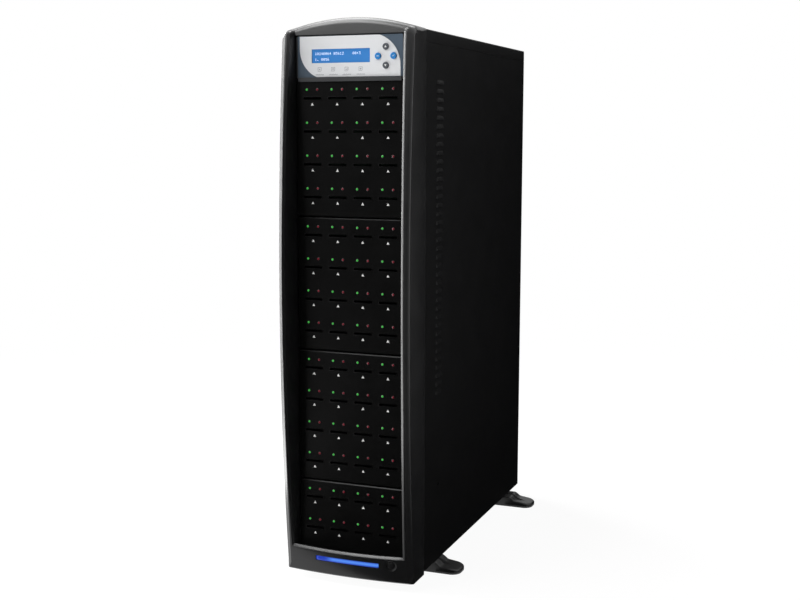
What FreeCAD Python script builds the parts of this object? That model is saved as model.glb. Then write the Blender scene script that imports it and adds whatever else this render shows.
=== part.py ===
import FreeCAD, Part
import math
import os

import Sketcher
from types import SimpleNamespace
from FreeCAD import Placement, Rotation, Vector

# Memory card duplicator: a tower of card slots in a steel case behind a bowed plastic bezel.
# Millimetres, +Z up. The front looks along -Y and the origin lies on the floor, under the middle.

os.makedirs("parts", exist_ok=True)

SIZES = {
    # steel case
    "case_width": 185.0,
    "case_height": 722.5,
    "case_depth": 458.5,
    "steel": 1.0,
    "seam_gap": 0.3,
    "cover_flange": 16.0,
    "pan_flange": 12.0,
    "rear_flange": 12.0,
    # vents in the side panels
    "vent_setback": 54.0,
    "vent_length": 26.0,
    "vent_height": 4.0,
    "vent_pitch": 11.6,
    "vent_drop": 66.5,
    "dot_height": 124.0,
    "dot_radius": 2.0,
    # front bezel
    "bezel_depth": 35.0,
    "bezel_drop": 4.5,
    "bezel_wall": 3.0,
    "nose_reach": 28.5,
    "nose_front": 29.36,
    "bow_radius": 3490.0,
    "crown": 6.0,
    "arch_rise": 14.9,
    "edge_round": 5.0,
    "shoulder_round": 8.0,
    "head_reach": 1.0,
    "head_round": 10.0,
    "recess_flare": 8.4,
    "recess_corner": 3.0,
    "ledge_rise": 3.5,
    "ledge_sag": 2.8,
    # bays behind the bezel, from the top down
    "head_drop": 6.0,
    "control_bay": 57.75,
    "module_pitch": 178.75,
    "short_module": 96.5,
    "bay_gap": 1.5,
    "panel_width": 153.0,
    "panel_fit": 0.5,
    "panel_corner": 4.0,
    "panel_bevel": 1.4,
    "face_thickness": 2.5,
    "tray_wall": 2.0,
    "tray_depth": 48.0,
    # card slots and lamps
    "column_pitch": 35.6,
    "row_pitch": 42.85,
    "lamp_drop": 12.75,
    "slot_drop": 11.4,
    "slot_width": 25.0,
    "slot_height": 3.2,
    "green_offset": 7.7,
    "red_offset": 7.3,
    "lamp_size": 2.8,
    "lamp_proud": 1.0,
    "board_setback": 25.0,
    "board_thickness": 1.6,
    "socket_wall": 0.7,
    "socket_length": 21.5,
    "post_radius": 2.4,
    "post_inset": 4.0,
    "board_fit": 1.0,
    # control panel
    "sill_height": 1.9,
    "sill_drop": 3.4,
    "sill_reach": 2.2,
    "plate_width": 147.0,
    "plate_thickness": 1.0,
    "plate_fit": 0.1,
    "label_margin": 0.4,
    "label_thickness": 0.4,
    "label_width": 141.0,
    "label_low_start": 36.0,
    "label_low_end": 24.0,
    "label_high_start": 39.0,
    "label_high_end": 28.5,
    "window_width": 82.0,
    "window_height": 17.8,
    "window_offset": 12.5,
    "window_rise": 29.85,
    "glass_border": 3.0,
    "lcd_board_width": 92.0,
    "lcd_board_height": 36.0,
    "key_centre": 50.4,
    "key_rise": 28.4,
    "key_spread": 10.7,
    "key_climb": 11.75,
    "key_radius": 4.2,
    "key_fit": 0.15,
    "key_proud": 1.8,
    "key_travel": 0.8,
    "key_flange": 1.2,
    "key_lip": 0.9,
    "key_stem": 2.6,
    "key_post": 1.5,
    "switch_size": 6.0,
    "switch_height": 3.5,
    "switch_gap": 0.3,
    # chin
    "bar_width": 92.0,
    "bar_height": 6.4,
    "bar_rise": 22.8,
    "bar_fit": 0.15,
    "bar_board_setback": 8.0,
    "bar_board_height": 11.0,
    "bar_board_margin": 1.0,
    "power_offset": 62.4,
    "power_rise": 24.9,
    "power_radius": 4.4,
    "power_fit": 0.2,
    "power_travel": 2.0,
    "power_switch": 4.5,
    "power_flange": 1.2,
    "power_lip": 1.2,
    "dish_radius": 8.5,
    "dish_depth": 1.8,
    "dish_shift": 2.2,
    "dish_drop": 1.5,
    "boss_wall": 1.6,
    "boss_setback": 4.0,
    # bay rails and the controller shelf
    "rail_depth": 34.0,
    "shelf_depth": 130.0,
    "shelf_lip": 14.0,
    "standoff_height": 6.0,
    "standoff_radius": 3.0,
    "board_width": 136.0,
    "board_depth": 96.0,
    "chip_size": 31.0,
    "chip_height": 2.4,
    "sink_height": 14.0,
    "sink_fin": 1.6,
    "sink_base": 3.0,
    # power supply
    "psu_width": 150.0,
    "psu_height": 86.0,
    "psu_depth": 140.0,
    "psu_wall": 0.8,
    "psu_drop": 12.0,
    "psu_window_inset": 8.0,
    "psu_fan_size": 80.0,
    "psu_fan_offset": 26.0,
    "inlet_offset": 45.0,
    "inlet_rise": 57.0,
    "inlet_width": 27.0,
    "inlet_height": 20.0,
    "inlet_depth": 18.0,
    "inlet_proud": 1.5,
    "inlet_rim": 1.5,
    "well_rim": 2.5,
    "well_depth": 16.0,
    "pin_length": 12.5,
    "pin_width": 2.0,
    "pin_height": 4.0,
    "pin_spread": 7.0,
    "pin_climb": 2.0,
    "rocker_rise": 26.0,
    "rocker_width": 13.0,
    "rocker_height": 19.0,
    "rocker_tilt": 8.0,
    "rocker_rim": 1.0,
    "rocker_depth": 14.0,
    "rocker_sink": 4.0,
    "rocker_pin": 1.2,
    "rocker_play": 0.5,
    "rocker_swing": 1.1,
    "rocker_crest": 1.6,
    # fans
    "fan_size": 120.0,
    "fan_depth": 25.0,
    "fan_clearance": 40.5,
    "fan_hub": 21.0,
    "psu_fan_hub": 15.0,
    "fan_rim": 2.5,
    "fan_gap": 1.5,
    "fan_spider": 3.0,
    "shaft_radius": 2.0,
    "shaft_fit": 0.05,
    "blade_thickness": 1.6,
    "shaft_length": 15.0,
    "hub_length": 18.5,
    "fan_screw_inset": 7.5,
    "grille_slot": 4.0,
    "grille_pitch": 9.0,
    # feet and their pivots
    "foot_height": 16.0,
    "foot_gap": 0.3,
    "foot_width": 37.0,
    "foot_reach": 68.0,
    "foot_shoulder": 33.5,
    "foot_knee": 41.0,
    "knee_height": 10.0,
    "tip_height": 6.5,
    "tip_round": 14.0,
    "front_foot_setback": 60.0,
    "rear_foot_setback": 395.0,
    "front_foot_offset": 59.5,
    "rear_foot_offset": 69.5,
    "pivot_radius": 4.0,
    "pivot_fit": 0.05,
    "pivot_recess": 1.5,
    # screws
    "screw_head": 3.2,
    "screw_head_height": 2.0,
    "screw_shank": 1.5,
    "screw_fit": 0.05,
    "screw_length": 6.0,
}

COLUMNS = 4
MODULE_ROWS = (4, 4, 4, 2)
VENT_COUNT = 37
FAN_BLADES = 7
BLADE_CHORD = 0.9
SINK_FINS = 7
HEXAGON_FLAT = math.sqrt(3) / 2


class Size(float):
    """A number that remembers the spreadsheet expression it was worked out from."""

    def __new__(cls, value, text):
        made = float.__new__(cls, value)
        made.text = text
        return made

    def __add__(self, other):
        return Size(float(self) + float(other), f"({text(self)} + {text(other)})")

    def __radd__(self, other):
        return Size(float(other) + float(self), f"({text(other)} + {text(self)})")

    def __sub__(self, other):
        return Size(float(self) - float(other), f"({text(self)} - {text(other)})")

    def __rsub__(self, other):
        return Size(float(other) - float(self), f"({text(other)} - {text(self)})")

    def __mul__(self, other):
        return Size(float(self) * float(other), f"({text(self)} * {text(other)})")

    def __rmul__(self, other):
        return Size(float(other) * float(self), f"({text(other)} * {text(self)})")

    def __truediv__(self, other):
        return Size(float(self) / float(other), f"({text(self)} / {text(other)})")

    def __neg__(self):
        return Size(-float(self), f"(-1 * {text(self)})")


def text(number):
    return number.text if isinstance(number, Size) else repr(float(number))


doc = FreeCAD.newDocument("memory_card_duplicator")
sheet = doc.addObject("Spreadsheet::Sheet", "Sizes")
for row, (alias, value) in enumerate(SIZES.items(), 1):
    sheet.set(f"A{row}", alias)
    sheet.set(f"B{row}", str(value))
    sheet.setAlias(f"B{row}", alias)
doc.recompute()
s = SimpleNamespace(**{alias: Size(value, f"Sizes.{alias}") for alias, value in SIZES.items()})

# Levels that several pieces share

face = (s.nose_front - s.screw_head_height - s.bezel_depth - s.case_depth) / 2
seam = face + s.bezel_depth
rear = seam + s.case_depth
half = s.case_width / 2
base = s.foot_height
top = base + s.case_height
bay_top = top - s.head_drop
control_floor = bay_top - s.control_bay
bay_floor = control_floor - s.module_pitch * (len(MODULE_ROWS) - 1) - s.short_module
chin_bottom = base - s.bezel_drop
panel_half = s.panel_width / 2
opening_half = panel_half + s.panel_fit
plate_rear = face + s.face_thickness
board_front = face + s.board_setback
inside = half - s.steel
tray_inside = panel_half - s.tray_wall
post_x = tray_inside - s.board_fit - s.post_radius
first_column = s.column_pitch * (1 - COLUMNS) / 2

control_low = control_floor + s.bay_gap / 2
control_high = bay_top - s.bay_gap / 2
plate_half = s.plate_width / 2
plate_low = control_low + s.sill_height + s.plate_fit
plate_high = control_high - s.panel_bevel - s.plate_fit
label_low = plate_low + s.label_margin
label_high = plate_high - s.label_margin
low_sweep = s.label_low_end / 2 + s.label_low_start * s.label_low_start / (2 * s.label_low_end)
high_sweep = s.label_high_end / 2 + s.label_high_start * s.label_high_start / (2 * s.label_high_end)
key_board_front = plate_rear + s.key_flange + s.key_travel + s.switch_gap + s.switch_height
key_post_x = s.key_spread + s.key_post
key_post_z = s.key_climb + s.key_post

bar_z = chin_bottom + s.bar_rise
power_z = chin_bottom + s.power_rise
bar_board_front = face + s.bar_board_setback
bar_post_x = s.bar_width / 2 + s.post_radius * 2

side_top = top - s.cover_flange - s.seam_gap
flange_low = base + s.pan_flange * 2
flange_high = side_top - s.rear_flange

shelf_low = control_low
shelf_y = (face + s.tray_depth + s.seam_gap, face + s.tray_depth + s.seam_gap + s.shelf_depth)
board_y = (shelf_y[0] + s.shelf_lip, shelf_y[0] + s.shelf_lip + s.board_depth)

psu_half = s.psu_width / 2
psu_high = top - s.psu_drop
psu_low = psu_high - s.psu_height
psu_rear = rear - s.steel
psu_front = psu_rear - s.psu_depth
psu_fan_centre = (-s.psu_fan_offset, (psu_low + psu_high) / 2)
inlet_centre = (s.inlet_offset, psu_low + s.inlet_rise)
rocker_centre = (s.inlet_offset, psu_low + s.rocker_rise)
well_floor = psu_rear + s.inlet_proud - s.well_depth
fan_z = psu_low - s.fan_clearance - s.fan_size / 2

nodes = []


# Part primitives and booleans

TURNS = {"X": Rotation(Vector(0, 1, 0), 90), "Y": Rotation(Vector(1, 0, 0), -90), "Z": Rotation()}


def bind(owner, **expressions):
    """Tie properties to the sheet; a double underscore in a keyword stands for a dot."""
    for name, value in expressions.items():
        owner.setExpression(name.replace("__", "."), text(value))


def box(name, x, y, z):
    """A block between the pairs of limits given for each axis."""
    made = doc.addObject("Part::Box", name)
    bind(made, Length=x[1] - x[0], Width=y[1] - y[0], Height=z[1] - z[0])
    bind(made, Placement__Base__x=x[0], Placement__Base__y=y[0], Placement__Base__z=z[0])
    return made


def rod(name, axis, radius, start, length):
    """A round bar that begins at start and runs along the axis."""
    made = doc.addObject("Part::Cylinder", name)
    made.Placement = Placement(Vector(), TURNS[axis])
    bind(made, Radius=radius, Height=length)
    bind(made, Placement__Base__x=start[0], Placement__Base__y=start[1], Placement__Base__z=start[2])
    return made


def hexagon_rod(name, axis, radius, start, length):
    made = doc.addObject("Part::Prism", name)
    made.Polygon = 6
    made.Placement = Placement(Vector(), TURNS[axis])
    bind(made, Circumradius=radius, Height=length)
    bind(made, Placement__Base__x=start[0], Placement__Base__y=start[1], Placement__Base__z=start[2])
    return made


def fuse(name, *pieces):
    made = doc.addObject("Part::MultiFuse", name)
    made.Shapes = list(pieces)
    return made


def cut(name, whole, *tools):
    made = doc.addObject("Part::Cut", name)
    made.Base = whole
    made.Tool = tools[0] if len(tools) == 1 else fuse(f"{name}_tools", *tools)
    return made


def node(made, name):
    """Hand a finished object over as the sub-part of that name."""
    made.Label = name
    nodes.append(made)
    return made


# Sketches and PartDesign features

def body(name):
    return doc.addObject("PartDesign::Body", name)


def origin_feature(owner, role):
    return next(feature for feature in owner.Origin.OriginFeatures if feature.Role == role)


def sketch(owner, name, role, level=0.0):
    """A sketch on an origin plane moved to the level; role XZ_Plane looks along -Y."""
    made = owner.newObject("Sketcher::SketchObject", name)
    made.AttachmentSupport = [(origin_feature(owner, role), "")]
    made.MapMode = "FlatFace"
    bind(made, AttachmentOffset__Base__z=-1 * level if role == "XZ_Plane" else level)
    return made


def dimension(drawing, kind, geometry, value):
    number = drawing.addConstraint(Sketcher.Constraint(kind, *geometry, float(value)))
    drawing.setExpression(f"Constraints[{number}]", text(value))


def hold(drawing, geometry, point, place):
    """Fix a point of the sketch at its place by two dimensions from the sketch's origin."""
    dimension(drawing, "DistanceX", (-1, 1, geometry, point), place[0])
    dimension(drawing, "DistanceY", (-1, 1, geometry, point), place[1])


def line(drawing, start, end):
    ends = [Vector(float(place[0]), float(place[1]), 0) for place in (start, end)]
    return drawing.addGeometry(Part.LineSegment(*ends), False)


def outline(drawing, points, arcs=None):
    """A closed outline through the points; a run whose number has a centre and radius is an arc about it."""
    pieces = []
    for number, (start, end) in enumerate(zip(points, points[1:] + points[:1])):
        if arcs and number in arcs:
            centre, radius = arcs[number]
            turns = [math.atan2(place[1] - centre[1], place[0] - centre[0]) for place in (start, end)]
            left_hand = ((end[0] - start[0]) * (centre[1] - start[1])
                         > (end[1] - start[1]) * (centre[0] - start[0]))
            first, last = (1, 2) if left_hand else (2, 1)
            pieces.append((arc(drawing, centre, radius, *(turns if left_hand else turns[::-1])), first, last))
            dimension(drawing, "Radius", (pieces[-1][0],), radius)
        else:
            pieces.append((line(drawing, start, end), 1, 2))
    for (this, _, last), (following, first, _) in zip(pieces, pieces[1:] + pieces[:1]):
        drawing.addConstraint(Sketcher.Constraint("Coincident", this, last, following, first))
    for (this, first, _), place in zip(pieces, points):
        hold(drawing, this, first, place)


def rectangle(drawing, x, y):
    outline(drawing, [(x[0], y[0]), (x[1], y[0]), (x[1], y[1]), (x[0], y[1])])


def circle(drawing, centre, radius):
    middle = Vector(float(centre[0]), float(centre[1]), 0)
    ring = drawing.addGeometry(Part.Circle(middle, Vector(0, 0, 1), float(radius)), False)
    dimension(drawing, "Radius", (ring,), radius)
    hold(drawing, ring, 3, centre)


def hexagon(drawing, centre, radius):
    """A hexagon with two corners level with its centre."""
    across = radius / 2
    up = radius * HEXAGON_FLAT
    outline(drawing, [(centre[0] + radius, centre[1]), (centre[0] + across, centre[1] + up),
                      (centre[0] - across, centre[1] + up), (centre[0] - radius, centre[1]),
                      (centre[0] - across, centre[1] - up), (centre[0] + across, centre[1] - up)])


def arc(drawing, centre, radius, start, end):
    ring = Part.Circle(Vector(float(centre[0]), float(centre[1]), 0), Vector(0, 0, 1), float(radius))
    return drawing.addGeometry(Part.ArcOfCircle(ring, start, end), False)


def rounded_rectangle(drawing, x, y, radius):
    (left, right), (low, high) = x, y
    points = [(left + radius, low), (right - radius, low), (right, low + radius), (right, high - radius),
              (right - radius, high), (left + radius, high), (left, high - radius), (left, low + radius)]
    outline(drawing, points, {1: ((right - radius, low + radius), radius),
                              3: ((right - radius, high - radius), radius),
                              5: ((left + radius, high - radius), radius),
                              7: ((left + radius, low + radius), radius)})


def pad(owner, drawing, length, reverse=False):
    made = owner.newObject("PartDesign::Pad", f"{drawing.Name}_pad")
    made.Profile = drawing
    bind(made, Length=length)
    made.Reversed = reverse
    return made


def pocket(owner, drawing, length, reverse=False):
    """Cut the sketch into the solid, and make sure that the cut met it."""
    doc.recompute()
    before = owner.Shape.Volume
    made = owner.newObject("PartDesign::Pocket", f"{drawing.Name}_pocket")
    made.Profile = drawing
    bind(made, Length=length)
    made.Reversed = reverse
    doc.recompute()
    if not owner.Shape.Volume < before:
        raise RuntimeError(f"{drawing.Name} cuts nothing")
    return made


def dress(owner, kind, feature, test, **sizes):
    """Fillet or chamfer the feature's edges whose points all pass the test."""
    doc.recompute()
    names = []
    for number, edge in enumerate(feature.Shape.Edges, 1):
        points = [vertex.Point for vertex in edge.Vertexes]
        points.append(edge.valueAt((edge.FirstParameter + edge.LastParameter) / 2))
        if all(test(point) for point in points):
            names.append(f"Edge{number}")
    if not names:
        raise RuntimeError(f"{owner.Name} has no edge to {kind.lower()}")
    made = owner.newObject(f"PartDesign::{kind}", f"{owner.Name}_{kind.lower()}")
    made.Base = (feature, names)
    bind(made, **sizes)
    doc.recompute()
    return made


def linear_pattern(owner, feature, axis, length, count, second=None):
    """Repeat a feature along an origin axis and, if given, along a second one; lengths are signed."""
    made = owner.newObject("PartDesign::LinearPattern", f"{feature.Name}_pattern")
    made.Originals = [feature]
    made.Direction = (origin_feature(owner, f"{axis}_Axis"), [""])
    made.Reversed = length < 0
    bind(made, Length=-length if length < 0 else length)
    made.Occurrences = count
    if second:
        axis, length, count = second
        made.Direction2 = (origin_feature(owner, f"{axis}_Axis"), [""])
        made.Reversed2 = length < 0
        bind(made, Length2=-length if length < 0 else length)
        made.Occurrences2 = count
    owner.Tip = made
    return made


def near(first, second):
    return abs(first - second) < 0.01


def root(size):
    return Size(math.sqrt(size), f"sqrt({text(size)})")


def arc_radius(half_span, rise):
    """Radius of the arc that rises so far over twice the half span."""
    return (half_span * half_span + rise * rise) / (2 * rise)


# Front bezel: a bowed, crowned and arched moulding with a recess for the panels, open at the back

def bowed_outline(drawing, side, flat, spring, rise):
    """A rectangle from the flat end to the spring line, closed by an arc that bulges beyond it."""
    beyond = 1 if spring > flat else -1
    radius = arc_radius(side, rise)
    points = [(-side, spring), (-side, flat), (side, flat), (side, spring)]
    outline(drawing, points, {3: ((0.0, spring + (rise - radius) * beyond), radius)})


def crowned_outline(drawing, side, ahead, apex, sweep, corner):
    """The space ahead of a crowned front that turns into its sides by small rounds, or squarely."""
    middle = apex + sweep
    if not corner:
        turn = middle - root(sweep * sweep - side * side)
        points = [(-side, ahead), (side, ahead), (side, turn), (-side, turn)]
        outline(drawing, points, {2: ((0.0, middle), sweep)})
        return
    run = side - corner
    drop = root((sweep - corner) * (sweep - corner) - run * run)
    stretch = sweep / (sweep - corner)
    wide = side + corner
    turn = middle - drop
    points = [(-wide, ahead), (wide, ahead), (wide, turn), (side, turn),
              (run * stretch, middle - drop * stretch), (-run * stretch, middle - drop * stretch),
              (-side, turn), (-wide, turn)]
    outline(drawing, points, {3: ((run, turn), corner), 4: ((0.0, middle), sweep), 5: ((-run, turn), corner)})


def recess_outline(drawing, side, high, ends, sag):
    """Straight sides and head, a ledge that sags in a shallow arc, small rounds at the corners."""
    round_off = s.recess_corner
    sweep = arc_radius(side, sag)
    middle = ends - sag + sweep
    run = side - round_off
    drop = root((sweep - round_off) * (sweep - round_off) - run * run)
    low = middle - drop
    stretch = sweep / (sweep - round_off)
    points = [(-side, high - round_off), (-side, low), (-run * stretch, middle - drop * stretch),
              (run * stretch, middle - drop * stretch), (side, low), (side, high - round_off),
              (run, high), (-run, high)]
    outline(drawing, points, {1: ((-run, low), round_off), 2: ((0.0, middle), sweep),
                              3: ((run, low), round_off), 5: ((run, high - round_off), round_off),
                              7: ((-run, high - round_off), round_off)})


def loft(owner, kind, first, second):
    doc.recompute()
    made = owner.newObject(f"PartDesign::{kind}", f"{first.Name}_loft")
    made.Profile = first
    made.Sections = [second]
    made.Ruled = True
    return made


def bezel_solid(name, inset):
    """The bezel with every wall moved in by the inset, solid to the seam; inside it is plainer."""
    owner = body(name)
    blank_depth = s.bezel_depth + s.nose_reach + s.crown + s.bezel_wall
    side = half - inset
    flat = chin_bottom + inset
    arch = sketch(owner, f"{name}_arch", "XZ_Plane", seam)
    bowed_outline(arch, side, flat, top - inset, s.arch_rise)
    blank = pad(owner, arch, blank_depth)
    dress(owner, "Fillet", blank, lambda p: near(abs(p.x), side) and p.z > flat + s.bezel_wall,
          Radius=s.shoulder_round - inset)

    # the bow: everything ahead of a crowned ring about a level axis far behind the front
    bow = sketch(owner, f"{name}_bow", "XY_Plane", (bay_top + bay_floor) / 2)
    bind(bow, AttachmentOffset__Base__y=face - s.nose_reach + s.bow_radius)
    apex = inset - s.bow_radius - s.crown
    corner = 0.0 if inset else s.edge_round
    crowned_outline(bow, side, apex - blank_depth, apex, arc_radius(half, s.crown), corner)
    front = owner.newObject("PartDesign::Groove", f"{name}_front_cut")
    front.Profile = bow
    front.ReferenceAxis = (bow, ["H_Axis"])
    front.Angle = 20
    front.Midplane = True

    # the recess: flared and open to the top ahead of the head, straight beside the panels
    mouth_half = opening_half + inset
    ledge = bay_floor + s.ledge_rise - inset
    head_front = face - s.head_reach + inset
    above = top + 2 * s.arch_rise
    recess_back = sketch(owner, f"{name}_recess_back", "XZ_Plane", head_front)
    recess_front = sketch(owner, f"{name}_recess_front", "XZ_Plane", face - blank_depth + s.bezel_depth)
    recess_outline(recess_back, mouth_half, above, ledge, s.ledge_sag)
    recess_outline(recess_front, mouth_half + s.recess_flare, above, ledge, s.ledge_sag)
    loft(owner, "SubtractiveLoft", recess_back, recess_front)
    throat_outline = sketch(owner, f"{name}_throat", "XZ_Plane", head_front)
    rectangle(throat_outline, (-mouth_half, mouth_half), (bay_floor - inset, bay_top + inset))
    throat = pocket(owner, throat_outline, s.bezel_depth + s.head_reach)
    kind, sizes = ("Chamfer", {"Size": s.bezel_wall * 0.8}) if inset else ("Fillet", {"Radius": s.head_round})
    dress(owner, kind, throat, lambda p: near(p.y, head_front) and p.z > top, **sizes)
    return owner


def chin_reach(x, z):
    """How far the middle of the chin's skin stands ahead of the panel face at that place."""
    climb = (bay_top + bay_floor) / 2 - z
    return s.nose_reach - climb * climb / (2 * s.bow_radius) + s.crown * (1 - x * x / (half * half))


def front_bezel():
    outer = bezel_solid("bezel_outer", 0.0)
    core = bezel_solid("bezel_core", s.bezel_wall)
    shell = cut("bezel_shell", outer, core)

    # webs that close the back above and below the case
    width = (-half, half)
    web_depth = (seam - s.bezel_wall, seam)
    webs = []
    web_heights = {"head": (top - s.bezel_wall, top + 2 * s.arch_rise),
                   "chin": (chin_bottom, base + s.bezel_wall)}
    for place, z in web_heights.items():
        web = doc.addObject("Part::Common", f"{place}_web")
        web.Base = outer
        web.Tool = box(f"{place}_web_block", width, web_depth, z)
        webs.append(web)

    # boss for the power button, posts for the light bar board
    reach = chin_reach(s.power_offset, power_z)
    boss_start = face - reach + s.bezel_wall / 2
    boss = rod("power_boss", "Y", s.power_radius + s.power_fit + s.boss_wall,
               (s.power_offset, boss_start, power_z), face - s.boss_setback - boss_start)
    post_start = face - chin_reach(bar_post_x, bar_z) + s.bezel_wall / 2
    post_length = bar_board_front - post_start
    posts = [rod(f"bar_post_{number}", "Y", s.post_radius, (x, post_start, bar_z), post_length)
             for number, x in enumerate((-bar_post_x, bar_post_x), 1)]
    solid = fuse("bezel_solid", shell, boss, *webs, *posts)

    # openings for the light bar and the button, and the dish round the button
    ahead = face - s.nose_reach - s.crown
    hole_half = s.bar_width / 2 + s.bar_fit
    hole_rise = s.bar_height / 2 + s.bar_fit
    bar_hole = box("bar_hole", (-hole_half, hole_half), (ahead, face - s.boss_setback),
                   (bar_z - hole_rise, bar_z + hole_rise))
    power_hole = rod("power_hole", "Y", s.power_radius + s.power_fit,
                     (s.power_offset, ahead, power_z), face - ahead)
    dish_curve = arc_radius(s.dish_radius, s.dish_depth)
    dish = doc.addObject("Part::Sphere", "power_dish")
    bind(dish, Radius=dish_curve)
    bind(dish, Placement__Base__x=s.power_offset + s.dish_shift,
         Placement__Base__y=face - reach + s.dish_depth - dish_curve,
         Placement__Base__z=power_z - s.dish_drop)
    node(cut("front_bezel", solid, bar_hole, power_hole, dish), "front_bezel")


def light_bar():
    """A clear bar whose front follows the chin; it is moulded on to its board."""
    owner = body("light_bar")
    drawing = sketch(owner, "light_bar_outline", "XY_Plane", bar_z - s.bar_height / 2)
    front = face - chin_reach(s.bar_width / 2, bar_z)
    rise = chin_reach(0.0, bar_z) - chin_reach(s.bar_width / 2, bar_z)
    bowed_outline(drawing, s.bar_width / 2, bar_board_front, front, rise)
    pad(owner, drawing, s.bar_height)
    node(owner, "light_bar")


def light_bar_board():
    board_top = bar_z + s.bar_height / 2 + s.bar_board_margin
    node(box("light_bar_board", (-bar_post_x - s.post_radius, s.power_offset + s.boss_setback * 2),
             (bar_board_front, bar_board_front + s.board_thickness),
             (board_top - s.bar_board_height, board_top)), "light_bar_board")


def power_button():
    """The cap slides in the boss and is held behind it by its flange."""
    boss_rear = face - s.boss_setback
    owner = body("power_button")
    cap = sketch(owner, "power_cap", "XZ_Plane", boss_rear)
    circle(cap, (s.power_offset, power_z), s.power_radius)
    front = pad(owner, cap, chin_reach(s.power_offset, power_z) - s.boss_setback)
    dress(owner, "Chamfer", front, lambda p: p.y < boss_rear - s.power_flange, Size=s.power_lip)
    flange = sketch(owner, "power_flange", "XZ_Plane", boss_rear)
    reach = s.power_radius + s.power_lip
    rectangle(flange, (s.power_offset - reach, s.power_offset + reach),
              (power_z - reach, power_z + s.power_radius - s.power_fit))
    pad(owner, flange, s.power_flange, reverse=True)
    node(owner, "power_button")


def power_switch():
    button_rear = face - s.boss_setback + s.power_flange
    reach = s.power_switch / 2
    switch_front = button_rear + s.power_travel + s.switch_gap
    node(box("power_switch", (s.power_offset - reach, s.power_offset + reach),
             (switch_front, bar_board_front), (power_z - reach, power_z + reach)), "power_switch")


# Panels: shallow trays with bevelled faces, stacked in the recess and held between the rails

def module_top(number):
    return control_floor - s.module_pitch * number


def tray(name, low, high):
    """A face with a rim turned back, hollow behind; it slides in between the rails."""
    owner = body(name)
    drawing = sketch(owner, f"{name}_outline", "XZ_Plane", face)
    rounded_rectangle(drawing, (-panel_half, panel_half), (low, high), s.panel_corner)
    block = pad(owner, drawing, s.tray_depth, reverse=True)
    dress(owner, "Chamfer", block, lambda p: near(p.y, face), Size=s.panel_bevel)
    hollow = sketch(owner, f"{name}_hollow", "XZ_Plane", plate_rear)
    rectangle(hollow, (-tray_inside, tray_inside), (low + s.tray_wall, high - s.tray_wall))
    pocket(owner, hollow, s.tray_depth)
    return owner


def slot_panel(number, rows):
    """One panel with its pattern of card slots, and posts for the board."""
    name = f"slot_panel_{number + 1}"
    low, high = module_limits(number)
    owner = tray(name, low, high)
    lamps = module_top(number) - s.lamp_drop
    grid = ("X", s.column_pitch * (COLUMNS - 1), COLUMNS, ("Z", s.row_pitch * (1 - rows), rows))
    holes = sketch(owner, f"{name}_holes", "XZ_Plane", face)
    rectangle(holes, (first_column - s.slot_width / 2, first_column + s.slot_width / 2),
              (lamps - s.slot_drop - s.slot_height / 2, lamps - s.slot_drop + s.slot_height / 2))
    linear_pattern(owner, pocket(owner, holes, s.face_thickness), *grid)
    posts = sketch(owner, f"{name}_posts", "XZ_Plane", board_front)
    for x in (-post_x, post_x):
        for z in (low + s.board_fit + s.post_inset, high - s.board_fit - s.post_inset):
            rectangle(posts, (x - s.post_radius, x + s.post_radius), (z - s.post_radius, z + s.post_radius))
    pad(owner, posts, s.board_setback - s.face_thickness)
    node(owner, name)


def module_limits(number):
    low = bay_floor if number == len(MODULE_ROWS) - 1 else module_top(number + 1)
    return low + s.bay_gap / 2, module_top(number) - s.bay_gap / 2


def slot_board(number):
    low, high = module_limits(number)
    edge = s.tray_wall + s.board_fit
    name = f"slot_board_{number + 1}"
    node(box(name, (s.board_fit - tray_inside, tray_inside - s.board_fit),
             (board_front, board_front + s.board_thickness), (low + edge, high - edge)), name)


def card_sockets(number, rows):
    """Open sleeves on the board, one behind each row of slots."""
    name = f"card_sockets_{number + 1}"
    owner = body(name)
    owner.AllowCompound = True
    drawing = sketch(owner, f"{name}_outline", "XZ_Plane", board_front)
    middle = module_top(number) - s.lamp_drop - s.slot_drop
    reach = s.slot_width / 2 - first_column
    for wall in (s.socket_wall, 0.0):
        rectangle(drawing, (-reach - wall, reach + wall),
                  (middle - s.slot_height / 2 - wall, middle + s.slot_height / 2 + wall))
    linear_pattern(owner, pad(owner, drawing, s.socket_length), "Z", s.row_pitch * (1 - rows), rows)
    node(owner, name)


def lamps(name, offset):
    """Square lenses on the panels, all of one colour."""
    owner = body(name)
    owner.AllowCompound = True
    reach = s.lamp_size / 2
    x = first_column + offset
    for number, rows in enumerate(MODULE_ROWS):
        drawing = sketch(owner, f"{name}_{number + 1}", "XZ_Plane", face)
        middle = module_top(number) - s.lamp_drop
        rectangle(drawing, (x - reach, x + reach), (middle - reach, middle + reach))
        linear_pattern(owner, pad(owner, drawing, s.lamp_proud), "X", s.column_pitch * (COLUMNS - 1), COLUMNS,
                       ("Z", s.row_pitch * (1 - rows), rows))
    node(owner, name)


# Control panel

def window_limits(border):
    x = -1 * s.window_offset
    z = control_floor + s.window_rise
    return ((x - s.window_width / 2 - border, x + s.window_width / 2 + border),
            (z - s.window_height / 2 - border, z + s.window_height / 2 + border))


def key_places():
    x = s.key_centre
    z = control_floor + s.key_rise
    return [(x, z + s.key_climb), (x - s.key_spread, z), (x + s.key_spread, z), (x, z - s.key_climb)]


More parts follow.
